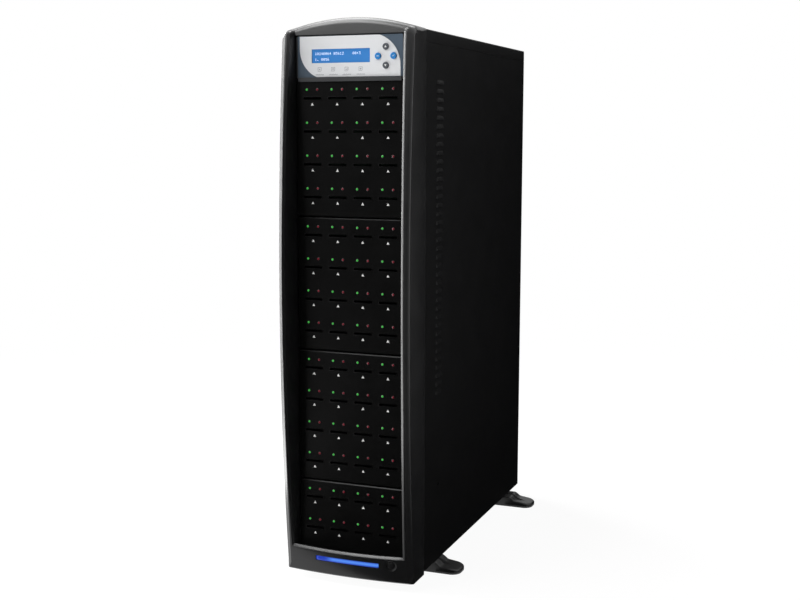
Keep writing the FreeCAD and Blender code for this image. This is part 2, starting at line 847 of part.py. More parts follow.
def control_panel_frame():
    owner = tray("control_panel_frame", control_low, control_high)
    recess = sketch(owner, "plate_recess", "XZ_Plane", face)
    rectangle(recess, (-plate_half - s.plate_fit, plate_half + s.plate_fit),
              (plate_low - s.plate_fit, plate_high + s.plate_fit))
    pocket(owner, recess, s.plate_thickness)
    openings = sketch(owner, "frame_openings", "XZ_Plane", face)
    rectangle(openings, *window_limits(s.glass_border + s.plate_fit))
    stem = s.key_stem + s.key_fit
    for x, z in key_places():
        rectangle(openings, (x - stem, x + stem), (z - stem, z + stem))
    pocket(owner, openings, s.face_thickness)
    sill = sketch(owner, "sill", "XZ_Plane", face + s.panel_bevel)
    sill_half = panel_half - s.panel_corner
    rectangle(sill, (-sill_half, sill_half), (control_low, control_low + s.sill_height))
    pad(owner, sill, s.sill_reach + s.panel_bevel)
    skirt = sketch(owner, "sill_skirt", "XZ_Plane", face - s.seam_gap)
    rectangle(skirt, (-sill_half, sill_half), (control_low - s.sill_drop, control_low + s.sill_height))
    pad(owner, skirt, s.sill_reach - s.seam_gap)
    posts = sketch(owner, "key_board_posts", "XZ_Plane", key_board_front)
    for across in (-1, 1):
        for up in (-1, 1):
            x = s.key_centre + key_post_x * across
            z = control_floor + s.key_rise + key_post_z * up
            rectangle(posts, (x - s.key_post, x + s.key_post), (z - s.key_post, z + s.key_post))
    pad(owner, posts, key_board_front - plate_rear)
    node(owner, "control_panel_frame")


def panel_plate():
    owner = body("panel_plate")
    drawing = sketch(owner, "plate_outline", "XZ_Plane", face + s.plate_thickness)
    rectangle(drawing, (-plate_half, plate_half), (plate_low, plate_high))
    rectangle(drawing, *window_limits(0.0))
    reach = s.key_radius + s.key_fit
    wide = s.key_spread + reach
    high = s.key_climb + reach
    cross = [(-reach, -high), (reach, -high), (reach, -reach), (wide, -reach),
             (wide, reach), (reach, reach), (reach, high), (-reach, high),
             (-reach, reach), (-wide, reach), (-wide, -reach), (-reach, -reach)]
    outline(drawing, [(s.key_centre + x, control_floor + s.key_rise + z) for x, z in cross])
    pad(owner, drawing, s.plate_thickness)
    node(owner, "panel_plate")


def panel_label():
    """The printed sheet: square at two corners, swept away in a wide curve at the other two."""
    owner = body("panel_label")
    drawing = sketch(owner, "label_outline", "XZ_Plane", face)
    right = s.label_width / 2
    left = -right
    low_turn = label_low + s.label_low_start
    high_turn = label_high - s.label_high_start
    points = [(left, label_high), (left, low_turn), (left + s.label_low_end, label_low), (right, label_low),
              (right, high_turn), (right - s.label_high_end, label_high)]
    outline(drawing, points, {1: ((left + low_sweep, low_turn), low_sweep),
                              4: ((right - high_sweep, high_turn), high_sweep)})
    rectangle(drawing, *window_limits(0.0))
    for place in key_places():
        circle(drawing, place, s.key_radius + s.key_fit)
    pad(owner, drawing, s.label_thickness)
    node(owner, "panel_label")


def display():
    glass_x, glass_z = window_limits(s.glass_border)
    node(box("lcd_glass", glass_x, (face + s.plate_thickness, plate_rear), glass_z), "lcd_glass")
    board_middle = control_floor + s.window_rise
    board_x = (-1 * s.window_offset - s.lcd_board_width / 2, s.lcd_board_width / 2 - s.window_offset)
    board_z = (board_middle - s.lcd_board_height / 2, board_middle + s.lcd_board_height / 2)
    node(box("lcd_board", board_x, (plate_rear, plate_rear + s.board_thickness), board_z), "lcd_board")


def keys():
    """Four round caps on square stems that slide in the panel, each held behind it by a flange."""
    cap_rear = face + s.plate_thickness - s.key_travel - s.plate_fit
    for number, place in enumerate(key_places(), 1):
        owner = body(f"key_{number}")
        cap = sketch(owner, f"key_cap_{number}", "XZ_Plane", cap_rear)
        circle(cap, place, s.key_radius)
        pad(owner, cap, cap_rear - face + s.key_proud)
        for part, level, reach, length in (("stem", cap_rear, s.key_stem, plate_rear - cap_rear),
                                           ("flange", plate_rear, s.key_radius + s.key_lip, s.key_flange)):
            drawing = sketch(owner, f"key_{part}_{number}", "XZ_Plane", level)
            rectangle(drawing, (place[0] - reach, place[0] + reach), (place[1] - reach, place[1] + reach))
            pad(owner, drawing, length, reverse=True)
        node(owner, f"key_{number}")


def key_switches():
    reach = s.switch_size / 2
    depth = (key_board_front - s.switch_height, key_board_front)
    switches = [box(f"key_switch_{number}", (x - reach, x + reach), depth, (z - reach, z + reach))
                for number, (x, z) in enumerate(key_places(), 1)]
    node(fuse("key_switches", *switches), "key_switches")


def key_board():
    middle = control_floor + s.key_rise
    x = key_post_x + s.key_post
    z = key_post_z + s.key_post
    depth = (key_board_front, key_board_front + s.board_thickness)
    node(box("key_board", (s.key_centre - x, s.key_centre + x), depth, (middle - z, middle + z)), "key_board")


# Steel case

def front_frame():
    """A folded frame: its face lies behind the bezel and its rails hold the panels."""
    floor = base + s.steel
    ceiling = top - s.steel
    plate = box("frame_plate", (-inside, inside), (seam, seam + s.steel), (floor, ceiling))
    opening = box("frame_opening", (-panel_half, panel_half), (seam, seam + s.steel), (bay_floor, bay_top))
    pieces = [cut("frame_face", plate, opening)]
    for hand, sign in (("left", -1), ("right", 1)):
        rail = sorted((sign * panel_half, sign * (panel_half + s.steel)))
        flange = sorted((sign * (inside - s.steel), sign * inside))
        pieces.append(box(f"{hand}_rail", rail, (seam, seam + s.rail_depth), (bay_floor, bay_top)))
        pieces.append(box(f"{hand}_flange", flange, (seam, seam + s.pan_flange),
                          (floor + s.pan_flange + s.seam_gap, ceiling)))
    node(fuse("front_frame", *pieces), "front_frame")


def base_pan():
    owner = body("base_pan")
    plan_x = (-inside, inside)
    plan_y = (seam + s.steel, rear - s.steel)
    drawing = sketch(owner, "pan_outline", "XY_Plane", base)
    rectangle(drawing, plan_x, plan_y)
    pad(owner, drawing, s.steel + s.pan_flange)
    hollow = sketch(owner, "pan_hollow", "XY_Plane", base + s.steel)
    rectangle(hollow, (s.steel - inside, inside - s.steel), (plan_y[0] + s.steel, plan_y[1] - s.steel))
    pocket(owner, hollow, s.pan_flange, reverse=True)
    node(owner, "base_pan")


def grille(drawing, centre, radius):
    """Level slots that fill a circle."""
    count = int((radius - s.grille_slot) / s.grille_pitch)
    for step in range(-count, count + 1):
        z = s.grille_pitch * step
        span = root(radius * radius - z * z)
        rectangle(drawing, (centre[0] - span, centre[0] + span),
                  (centre[1] + z - s.grille_slot / 2, centre[1] + z + s.grille_slot / 2))


def rear_panel():
    owner = body("rear_panel")
    drawing = sketch(owner, "rear_outline", "XZ_Plane", rear)
    rectangle(drawing, (-inside, inside), (base, top - s.steel))
    pad(owner, drawing, s.steel)
    openings = sketch(owner, "rear_openings", "XZ_Plane", rear - s.steel)
    inset = s.psu_window_inset
    rectangle(openings, (inset - psu_half, psu_half - inset), (psu_low + inset, psu_high - inset))
    grille(openings, (0.0, fan_z), s.fan_size / 2 - s.fan_rim - s.fan_gap)
    for place in rear_screw_places():
        hexagon(openings, place, s.screw_shank + s.screw_fit)
    pocket(owner, openings, s.steel)
    node(owner, "rear_panel")


def flange_screw_places():
    x = inside - s.rear_flange / 2
    heights = (flange_low + s.rear_flange, flange_high - s.rear_flange)
    return [(x * sign, z) for sign in (-1, 1) for z in heights]


def psu_screw_places():
    inset = s.psu_window_inset / 2
    return [(sign * (psu_half - inset), z) for sign in (-1, 1) for z in (psu_low + inset, psu_high - inset)]


def fan_screw_places():
    reach = s.fan_size / 2 - s.fan_screw_inset
    return [(sign * reach, fan_z + up * reach) for sign in (-1, 1) for up in (-1, 1)]


def rear_screw_places():
    return flange_screw_places() + psu_screw_places() + fan_screw_places()


def rear_screws():
    """Screws that hold the side panels, the power supply and the fan to the rear panel."""
    screws = []
    for number, (x, z) in enumerate(rear_screw_places(), 1):
        screws.append(hexagon_rod(f"rear_shank_{number}", "Y", s.screw_shank, (x, rear - s.screw_length, z),
                                  s.screw_length))
        screws.append(hexagon_rod(f"rear_head_{number}", "Y", s.screw_head, (x, rear, z),
                                  s.screw_head_height))
    node(fuse("rear_screws", *screws), "rear_screws")


def side_panel(hand, sign):
    name = f"{hand}_side_panel"
    owner = body(name)
    skin = sorted((sign * inside, sign * half))
    drawing = sketch(owner, f"{name}_outline", "YZ_Plane", skin[0])
    rectangle(drawing, (seam, rear), (base, side_top))
    pad(owner, drawing, s.steel)
    flange = sketch(owner, f"{name}_flange", "XZ_Plane", rear - s.steel)
    fold = sorted((sign * (inside - s.rear_flange), sign * half))
    rectangle(flange, fold, (flange_low, flange_high))
    pad(owner, flange, s.steel)
    holes = sketch(owner, f"{name}_screw_holes", "XZ_Plane", rear - 2 * s.steel)
    for x, z in flange_screw_places():
        if x * sign > 0:
            hexagon(holes, (x, z), s.screw_shank + s.screw_fit)
    pocket(owner, holes, s.steel)
    vent_start = seam + s.vent_setback - s.vent_length / 2
    first = top - s.vent_drop
    vent = sketch(owner, f"{name}_vent", "YZ_Plane", skin[1])
    rectangle(vent, (vent_start, vent_start + s.vent_length),
              (first - s.vent_height / 2, first + s.vent_height / 2))
    linear_pattern(owner, pocket(owner, vent, s.steel), "Z", s.vent_pitch * (1 - VENT_COUNT), VENT_COUNT)
    if sign > 0:
        dot = sketch(owner, f"{name}_dot", "YZ_Plane", skin[1])
        circle(dot, (seam + s.vent_setback, s.dot_height), s.dot_radius)
        pocket(owner, dot, s.steel)
    node(owner, name)


def top_cover():
    plate = box("cover_plate", (-half, half), (seam, rear), (top - s.steel, top))
    flange_z = (top - s.cover_flange, top - s.steel)
    left = box("cover_left", (-half, -inside), (seam, rear), flange_z)
    right = box("cover_right", (inside, half), (seam, rear), flange_z)
    node(fuse("top_cover", plate, left, right), "top_cover")


# Controller, on a shelf between the rails

def controller_shelf():
    shelf_x = panel_half
    floor = box("shelf_floor", (-shelf_x, shelf_x), shelf_y, (shelf_low, shelf_low + s.steel))
    sides = [box(f"shelf_{hand}", sorted((sign * shelf_x, sign * (shelf_x - s.steel))), shelf_y,
                 (shelf_low, shelf_low + s.shelf_lip)) for hand, sign in (("left", -1), ("right", 1))]
    node(fuse("controller_shelf", floor, *sides), "controller_shelf")


def standoffs():
    start = shelf_low + s.steel
    posts = [hexagon_rod(f"standoff_{number}", "Z", s.standoff_radius, (x, y, start), s.standoff_height)
             for number, (x, y) in enumerate(standoff_places(), 1)]
    node(fuse("standoffs", *posts), "standoffs")


def standoff_places():
    edge = 2 * s.standoff_radius
    x = s.board_width / 2 - edge
    return [(sign * x, y) for sign in (-1, 1) for y in (board_y[0] + edge, board_y[1] - edge)]


def controller_board():
    low = shelf_low + s.steel + s.standoff_height
    node(box("controller_board", (-s.board_width / 2, s.board_width / 2), board_y,
             (low, low + s.board_thickness)), "controller_board")
    chip_low = low + s.board_thickness
    chip_high = chip_low + s.chip_height
    chip_half = s.chip_size / 2
    middle = (board_y[0] + board_y[1]) / 2
    node(box("controller_chip", (-chip_half, chip_half), (middle - chip_half, middle + chip_half),
             (chip_low, chip_high)), "controller_chip")
    owner = body("heat_sink")
    plan = sketch(owner, "sink_base", "XY_Plane", chip_high)
    rectangle(plan, (-chip_half, chip_half), (middle - chip_half, middle + chip_half))
    pad(owner, plan, s.sink_base)
    blade = sketch(owner, "sink_blade", "XY_Plane", chip_high + s.sink_base)
    rectangle(blade, (-chip_half, s.sink_fin - chip_half), (middle - chip_half, middle + chip_half))
    fin = pad(owner, blade, s.sink_height - s.sink_base)
    linear_pattern(owner, fin, "X", s.chip_size - s.sink_fin, SINK_FINS)
    node(owner, "heat_sink")


# Power supply

def psu_housing():
    owner = body("psu_housing")
    drawing = sketch(owner, "psu_outline", "XZ_Plane", psu_rear)
    rectangle(drawing, (-psu_half, psu_half), (psu_low, psu_high))
    pad(owner, drawing, s.psu_depth - s.psu_wall)
    hollow = sketch(owner, "psu_hollow", "XZ_Plane", psu_front + s.psu_wall)
    rectangle(hollow, (s.psu_wall - psu_half, psu_half - s.psu_wall),
              (psu_low + s.psu_wall, psu_high - s.psu_wall))
    pocket(owner, hollow, s.psu_depth - 2 * s.psu_wall)
    openings = sketch(owner, "psu_openings", "XZ_Plane", psu_rear - s.psu_wall)
    grille(openings, psu_fan_centre, s.psu_fan_size / 2 - s.fan_rim - s.fan_gap)
    rectangle(openings, *around(inlet_centre, s.inlet_width - 2 * s.inlet_rim,
                                s.inlet_height - 2 * s.inlet_rim))
    rectangle(openings, *around(rocker_centre, s.rocker_width, s.rocker_height))
    for place in psu_screw_places():
        hexagon(openings, place, s.screw_shank + s.screw_fit)
    pocket(owner, openings, s.psu_wall)
    node(owner, "psu_housing")


def psu_end_plate():
    depth = (psu_front, psu_front + s.psu_wall)
    node(box("psu_end_plate", (-psu_half, psu_half), depth, (psu_low, psu_high)), "psu_end_plate")


def around(centre, width, height):
    return ((centre[0] - width / 2, centre[0] + width / 2), (centre[1] - height / 2, centre[1] + height / 2))


def mains_inlet():
    """An appliance inlet: a flange outside the housing, a deep well with three pins."""
    owner = body("mains_inlet")
    flange = sketch(owner, "inlet_flange", "XZ_Plane", psu_rear + s.inlet_proud)
    rectangle(flange, *around(inlet_centre, s.inlet_width, s.inlet_height))
    pad(owner, flange, s.inlet_proud)
    sleeve = sketch(owner, "inlet_sleeve", "XZ_Plane", psu_rear)
    rectangle(sleeve, *around(inlet_centre, s.inlet_width - 2 * s.inlet_rim,
                              s.inlet_height - 2 * s.inlet_rim))
    pad(owner, sleeve, s.inlet_depth)
    well = sketch(owner, "inlet_well", "XZ_Plane", well_floor)
    rectangle(well, *around(inlet_centre, s.inlet_width - 2 * s.well_rim, s.inlet_height - 2 * s.well_rim))
    pocket(owner, well, s.inlet_depth + s.inlet_proud)
    node(owner, "mains_inlet")
    blades = []
    for number, (across, up) in enumerate(((-1, -1), (0, 1), (1, -1)), 1):
        place = (inlet_centre[0] + s.pin_spread * across, inlet_centre[1] + s.pin_climb * up)
        x, z = around(place, s.pin_width, s.pin_height)
        blades.append(box(f"inlet_pin_{number}", x, (well_floor, well_floor + s.pin_length), z))
    node(fuse("inlet_pins", *blades), "inlet_pins")


def rocker_switch():
    """The frame holds a rocker on two pins; the rocker rests with its lower half pressed."""
    frame_x, frame_z = around(rocker_centre, s.rocker_width, s.rocker_height)
    well_x, well_z = around(rocker_centre, s.rocker_width - 2 * s.rocker_rim,
                            s.rocker_height - 2 * s.rocker_rim)
    brim_x, brim_z = around(rocker_centre, s.rocker_width + 2 * s.rocker_rim,
                            s.rocker_height + 2 * s.rocker_rim)
    brim_top = psu_rear + s.plate_thickness
    pivot = psu_rear - s.rocker_sink
    frame_body = box("rocker_body", frame_x, (psu_rear - s.rocker_depth, psu_rear), frame_z)
    brim = box("rocker_brim", brim_x, (psu_rear, brim_top), brim_z)
    well = box("rocker_well", well_x, (psu_rear - s.rocker_depth + s.rocker_rim, brim_top), well_z)
    bores = rod("rocker_bores", "X", s.rocker_pin + s.pivot_fit,
                (frame_x[0], pivot, rocker_centre[1]), s.rocker_width)
    node(cut("rocker_frame", fuse("rocker_case", frame_body, brim), well, bores), "rocker_frame")

    owner = body("rocker")
    profile = sketch(owner, "rocker_profile", "YZ_Plane", s.rocker_play + s.rocker_rim - s.rocker_width / 2)
    reach = s.rocker_height / 2 - s.rocker_rim - s.rocker_swing
    heel = -1 * s.rocker_pin - s.rocker_rim
    outline(profile, [(heel, -reach / 2), (s.rocker_sink, -reach), (s.rocker_sink + s.rocker_crest, -reach),
                      (s.rocker_sink, 0.0), (s.rocker_sink + s.rocker_crest, reach), (s.rocker_sink, reach),
                      (heel, reach / 2)])
    pad(owner, profile, s.rocker_width - 2 * s.rocker_rim - 2 * s.rocker_play)
    pins = sketch(owner, "rocker_pins", "YZ_Plane", s.rocker_play - s.rocker_width / 2)
    circle(pins, (0.0, 0.0), s.rocker_pin)
    pad(owner, pins, s.rocker_width - 2 * s.rocker_play)
    owner.Placement = Placement(Vector(), Rotation(Vector(1, 0, 0), float(-s.rocker_tilt)))
    bind(owner, Placement__Base__x=rocker_centre[0], Placement__Base__y=pivot,
         Placement__Base__z=rocker_centre[1])
    node(owner, "rocker")


# Fans

def fan(name, size, hub, centre, back, screws):
    """A square frame with a spider behind, and a rotor that turns on the spider's shaft."""
    bore = size / 2 - s.fan_rim
    frame = body(f"{name}_frame")
    ring = sketch(frame, f"{name}_ring", "XZ_Plane", back)
    rectangle(ring, *around(centre, size, size))
    circle(ring, centre, bore)
    for place in screws:
        hexagon(ring, place, s.screw_shank + s.screw_fit)
    pad(frame, ring, s.fan_depth)
    for arm, width, height in (("level", size - s.fan_rim, 2 * s.fan_spider),
                               ("upright", 2 * s.fan_spider, size - s.fan_rim)):
        drawing = sketch(frame, f"{name}_{arm}_arm", "XZ_Plane", back)
        rectangle(drawing, *around(centre, width, height))
        pad(frame, drawing, s.fan_spider)
    seat = sketch(frame, f"{name}_seat", "XZ_Plane", back)
    hexagon(seat, centre, hub)
    pad(frame, seat, s.fan_spider)
    shaft = sketch(frame, f"{name}_shaft", "XZ_Plane", back - s.fan_spider)
    circle(shaft, centre, s.shaft_radius)
    pad(frame, shaft, s.shaft_length)
    node(frame, f"{name}_frame")

    rotor = body(f"{name}_rotor")
    hub_rear = -1 * s.fan_spider - s.fan_gap
    hub_disc = sketch(rotor, f"{name}_hub", "XZ_Plane", hub_rear)
    circle(hub_disc, (0.0, 0.0), hub)
    pad(rotor, hub_disc, s.hub_length)
    hole = sketch(rotor, f"{name}_bore", "XZ_Plane", hub_rear)
    circle(hole, (0.0, 0.0), s.shaft_radius + s.shaft_fit)
    pocket(rotor, hole, s.shaft_length, reverse=True)
    root_radius = hub - s.blade_thickness
    section = sketch(rotor, f"{name}_blade", "YZ_Plane", root_radius)
    leading = hub_rear - s.hub_length + s.blade_thickness
    trailing = hub_rear - 2 * s.blade_thickness
    chord = hub * BLADE_CHORD
    outline(section, [(leading, -chord / 2), (leading + s.blade_thickness, -chord / 2),
                      (trailing + s.blade_thickness, chord / 2), (trailing, chord / 2)])
    blade = pad(rotor, section, bore - s.fan_gap - s.blade_thickness - root_radius)
    doc.recompute()
    ring_of_blades = rotor.newObject("PartDesign::PolarPattern", f"{name}_blades")
    ring_of_blades.Originals = [blade]
    ring_of_blades.Axis = (origin_feature(rotor, "Y_Axis"), [""])
    ring_of_blades.Angle = 360
    ring_of_blades.Occurrences = FAN_BLADES
    rotor.Tip = ring_of_blades
    bind(rotor, Placement__Base__x=centre[0], Placement__Base__y=back, Placement__Base__z=centre[1])
    node(rotor, f"{name}_rotor")


# Swing-out feet

def foot_places():
    front_y = seam + s.front_foot_setback
    rear_y = seam + s.rear_foot_setback
    return {"front_left": (-s.front_foot_offset, front_y), "front_right": (s.front_foot_offset, front_y),
            "rear_left": (-s.rear_foot_offset, rear_y), "rear_right": (s.rear_foot_offset, rear_y)}


def foot(name, place):
    """An arm from the pivot outwards: full height under the case, sloping down beyond it."""
    owner = body(f"{name}_foot")
    plan = sketch(owner, f"{name}_plan", "XY_Plane")
    wide = s.foot_width / 2
    corner = s.foot_reach - s.tip_round
    flank = wide - s.tip_round
    points = [(0.0, -wide), (corner, -wide), (s.foot_reach, -flank), (s.foot_reach, flank),
              (corner, wide), (0.0, wide), (-wide, 0.0)]
    outline(plan, points, {1: ((corner, -flank), s.tip_round), 3: ((corner, flank), s.tip_round),
                           5: ((0.0, 0.0), wide), 6: ((0.0, 0.0), wide)})
    height = base - s.foot_gap
    pad(owner, plan, height)
    slope = sketch(owner, f"{name}_slope", "XZ_Plane", wide)
    above = height + s.foot_gap
    beyond = s.foot_reach + s.foot_gap
    outline(slope, [(s.foot_shoulder, above), (s.foot_shoulder, height), (s.foot_knee, s.knee_height),
                    (s.foot_reach, s.tip_height), (beyond, s.tip_height), (beyond, above)])
    pocket(owner, slope, s.foot_width, reverse=True)
    bore = sketch(owner, f"{name}_bore", "XY_Plane")
    circle(bore, (0.0, 0.0), s.pivot_radius + s.pivot_fit)
    pocket(owner, bore, height, reverse=True)
    turn = 180.0 if place[0] < 0 else 0.0
    owner.Placement = Placement(Vector(), Rotation(Vector(0, 0, 1), turn))
    bind(owner, Placement__Base__x=place[0], Placement__Base__y=place[1])
    node(owner, f"{name}_foot")


def foot_pivots():
    """A stud welded under the pan for each foot to swing on."""
    studs = [rod(f"{name}_stud", "Z", s.pivot_radius, (x, y, s.pivot_recess), base - s.pivot_recess)
             for name, (x, y) in foot_places().items()]
    node(fuse("foot_pivots", *studs), "foot_pivots")


front_bezel()
light_bar()
light_bar_board()
power_button()
power_switch()
for count, row_count in enumerate(MODULE_ROWS):
    slot_panel(count, row_count)
    slot_board(count)
    card_sockets(count, row_count)
lamps("green_lamps", -s.green_offset)
lamps("red_lamps", s.red_offset)
control_panel_frame()
panel_plate()
panel_label()
display()
keys()
key_switches()
key_board()
front_frame()
base_pan()
rear_panel()
rear_screws()
side_panel("left", -1)
side_panel("right", 1)
top_cover()
controller_shelf()
standoffs()
controller_board()
psu_housing()
psu_end_plate()
mains_inlet()
rocker_switch()
fan("psu_fan", s.psu_fan_size, s.psu_fan_hub, psu_fan_centre, psu_rear - s.psu_wall, [])
fan("exhaust_fan", s.fan_size, s.fan_hub, (0.0, fan_z), rear - s.steel, fan_screw_places())
for corner, spot in foot_places().items():
    foot(corner, spot)
foot_pivots()

doc.recompute()
faults = [made.Name for made in doc.Objects if "Invalid" in made.State or "Error" in made.State]
faults += [made.Label for made in nodes if made.Shape.isNull() or not made.Shape.isValid()]
if faults:
    raise RuntimeError("not sound: " + ", ".join(faults))
for made in nodes:
    made.Shape.exportStep(os.path.join("parts", f"{made.Label}.step"))
print(f"{len(nodes)} sub-parts")
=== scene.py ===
import bmesh
import bpy
from math import cos, pi, radians, sin, sqrt
from mathutils import Matrix, Vector


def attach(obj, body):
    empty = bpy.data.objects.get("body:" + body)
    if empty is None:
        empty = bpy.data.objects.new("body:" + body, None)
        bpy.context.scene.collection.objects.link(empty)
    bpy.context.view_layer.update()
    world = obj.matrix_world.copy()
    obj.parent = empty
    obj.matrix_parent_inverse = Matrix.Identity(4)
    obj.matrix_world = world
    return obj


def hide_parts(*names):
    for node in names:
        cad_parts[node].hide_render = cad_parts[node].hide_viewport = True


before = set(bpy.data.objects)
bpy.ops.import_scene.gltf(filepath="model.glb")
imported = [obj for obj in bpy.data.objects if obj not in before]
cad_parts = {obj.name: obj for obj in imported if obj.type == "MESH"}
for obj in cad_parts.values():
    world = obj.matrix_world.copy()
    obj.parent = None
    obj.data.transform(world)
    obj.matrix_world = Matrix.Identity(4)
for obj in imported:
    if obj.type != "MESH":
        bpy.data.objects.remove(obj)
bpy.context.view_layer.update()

# Levels and places of the part, in millimetres
MM = 0.001
FACE = -233.07
SEAM = -198.07
REAR = 260.43
HALF = 92.5
TOP = 738.5
CHIN_BOTTOM = 11.5
BAY_TOP = 732.5
BAY_FLOOR = 42.0
OPENING_HALF = 77.0
MODULE_TOPS = (674.75, 496.0, 317.25, 138.5)
MODULE_ROWS = (4, 4, 4, 2)
COLUMNS = (-53.4, -17.8, 17.8, 53.4)
ROW_PITCH = 42.85
LAMP_DROP = 12.75
GREEN_OFFSET = -7.7
RED_OFFSET = 7.3
SLOT_DROP = 11.4
MARK_DROP = 18.8
LABEL_FRONT = FACE - 0.4
WINDOW = (-12.5, 704.6, 82.0, 17.8)
KEY_CENTRE = (50.4, 703.15)
KEY_SPREAD = 10.7
KEY_CLIMB = 11.75
BAR_Z = 34.3
BAR_HALF = 46.0
BAR_HALF_HEIGHT = 3.2
BAR_REAR = FACE + 8.0
POWER = (62.4, 36.4)
POWER_REAR = FACE - 4.0


def mm(x, y, z):
    return Vector((x, y, z)) * MM


# Materials

MOTTLE_DETAIL = 5.0
GRAIN_DETAIL = 3.0
GRAIN_DEPTH = 0.0002
GLOSS_SPREAD = 0.06
GLOSS_LEAST = 0.02
EDGE_LIFT_RANGE = (0.52, 0.62)
EDGE_LIFT_GAIN = 2.5
EDGE_LIFT_ADD = 0.01


def linear(colour):
    """A colour given as it looks on a screen, 0 to 255, as the shader wants it."""
    out = []
    for part in colour:
        part = part / 255
        out.append(part / 12.92 if part <= 0.04045 else ((part + 0.055) / 1.055) ** 2.4)
    return (*out, 1.0)


def shaded(colour, gain, lift=0.0):
    """A linear colour made darker or lighter."""
    return (*(min(1.0, part * gain + lift) for part in colour[:3]), 1.0)


def feed(tree, socket, value):
    """Link an output to an input, or set the input to a plain value."""
    if isinstance(value, bpy.types.NodeSocket):
        tree.links.new(value, socket)
    else:
        socket.default_value = value


def noise(tree, place, scale, detail):
    node = tree.nodes.new("ShaderNodeTexNoise")
    node.inputs["Scale"].default_value = scale
    node.inputs["Detail"].default_value = detail
    tree.links.new(place.outputs["Object"], node.inputs["Vector"])
    return node.outputs["Fac"]


def mapped(tree, value, source, target, smooth=False):
    """A value carried from one range over to another."""
    node = tree.nodes.new("ShaderNodeMapRange")
    if smooth:
        node.interpolation_type = "SMOOTHSTEP"
    for name, limit in zip(("From Min", "From Max", "To Min", "To Max"), source + target):
        node.inputs[name].default_value = limit
    tree.links.new(value, node.inputs["Value"])
    return node.outputs["Result"]


def mixed(tree, factor, first, second):
    """A colour between two others."""
    node = tree.nodes.new("ShaderNodeMix")
    node.data_type = "RGBA"
    for name, value in (("Factor", factor), ("A", first), ("B", second)):
        feed(tree, node.inputs[name], value)
    return node.outputs["Result"]


def reckoned(tree, operation, *values, clamp=False):
    """The result of a math node."""
    node = tree.nodes.new("ShaderNodeMath")
    node.operation = operation
    node.use_clamp = clamp
    for socket, value in zip(node.inputs, values):
        feed(tree, socket, value)
    return node.outputs["Value"]


def surface(name, colour, rough, metal=0.0, mottle=0.12, mottle_scale=30.0, grain=0.0, grain_scale=1800.0,
            specular=0.5, edge_lift=0.0):
    """A shader with slow changes of tone and gloss, a fine grain, and edges that are a little lighter."""
    made = bpy.data.materials.new(name)
    made.use_nodes = True
    tree = made.node_tree
    shader = tree.nodes["Principled BSDF"]
    shader.inputs["Metallic"].default_value = metal
    shader.inputs["Specular IOR Level"].default_value = specular
    place = tree.nodes.new("ShaderNodeTexCoord")
    slow = noise(tree, place, mottle_scale, MOTTLE_DETAIL)
    base = linear(colour)
    tone = mixed(tree, slow, shaded(base, 1 - mottle), shaded(base, 1 + mottle))
    # Sharp edges are mixed, by their pointiness, towards a lighter tone of the base colour
    if edge_lift:
        edge = tree.nodes.new("ShaderNodeNewGeometry")
        edge_share = mapped(tree, edge.outputs["Pointiness"], EDGE_LIFT_RANGE, (0.0, edge_lift))
        tone = mixed(tree, edge_share, tone, shaded(base, EDGE_LIFT_GAIN, EDGE_LIFT_ADD))
    tree.links.new(tone, shader.inputs["Base Color"])
    spread = (max(GLOSS_LEAST, rough - GLOSS_SPREAD), min(1.0, rough + GLOSS_SPREAD))
    tree.links.new(mapped(tree, slow, (0.0, 1.0), spread), shader.inputs["Roughness"])
    if grain:
        bump = tree.nodes.new("ShaderNodeBump")
        bump.inputs["Strength"].default_value = grain
        bump.inputs["Distance"].default_value = GRAIN_DEPTH
        tree.links.new(noise(tree, place, grain_scale, GRAIN_DETAIL), bump.inputs["Height"])
        tree.links.new(bump.outputs["Normal"], shader.inputs["Normal"])
    return made


def glow(made, colour, strength):
    """The material, with light of its own."""
    shader = made.node_tree.nodes["Principled BSDF"]
    shader.inputs["Emission Color"].default_value = linear(colour)
    shader.inputs["Emission Strength"].default_value = strength
    return made


BEZEL = surface("bezel_plastic", (24, 24, 25), 0.32, grain=0.1, grain_scale=1500.0, specular=0.52, edge_lift=0.2)
CASE = surface("case_powder_coat", (10, 10, 11), 0.5, grain=0.25, grain_scale=900.0, mottle=0.2,
               specular=0.12)
PANEL = surface("panel_plastic", (9, 9, 9), 0.32, grain=0.06, grain_scale=1200.0, specular=0.14)
TRIM = surface("trim_plastic", (52, 53, 55), 0.4, grain=0.25, grain_scale=1300.0)
PLATE = surface("slate_plate", (70, 85, 100), 0.38, grain=0.2, grain_scale=1600.0)
LABEL = surface("printed_label", (226, 227, 229), 0.42, mottle=0.02, grain=0.12, grain_scale=2200.0)
KEY_GREY = surface("grey_key", (78, 82, 88), 0.35, grain=0.15)
KEY_BLUE = surface("blue_key", (30, 128, 200), 0.32, grain=0.15)
BOARD = surface("circuit_board", (24, 70, 42), 0.45, mottle=0.25, mottle_scale=300.0, grain=0.3)
COMPONENT = surface("black_component", (26, 26, 27), 0.5, grain=0.4)
PLATED = surface("zinc_plate", (168, 170, 172), 0.36, metal=1.0, mottle_scale=120.0, grain=0.2)
SINK = surface("anodised_sink", (60, 62, 66), 0.42, metal=0.9, grain=0.3)
CONTACT = surface("brass_contact", (196, 168, 96), 0.3, metal=1.0, mottle_scale=200.0)
FAN = surface("fan_plastic", (28, 28, 29), 0.42, grain=0.3)
FOOT = surface("foot_plastic", (40, 40, 41), 0.44, grain=0.4, grain_scale=900.0, edge_lift=0.15)
WHITE = surface("white_print", (228, 228, 226), 0.5, mottle=0.04)
GREY_PRINT = surface("grey_print", (150, 152, 156), 0.5, mottle=0.05)
PALE_PRINT = glow(surface("display_dots", (220, 232, 245), 0.4, mottle=0.03), (215, 230, 248), 0.75)
DISPLAY = glow(surface("display_glass", (46, 96, 150), 0.2, mottle=0.04, mottle_scale=60.0),
               (56, 122, 190), 0.62)
GREEN = glow(surface("green_lens", (30, 110, 40), 0.25, mottle=0.1), (62, 172, 66), 0.7)
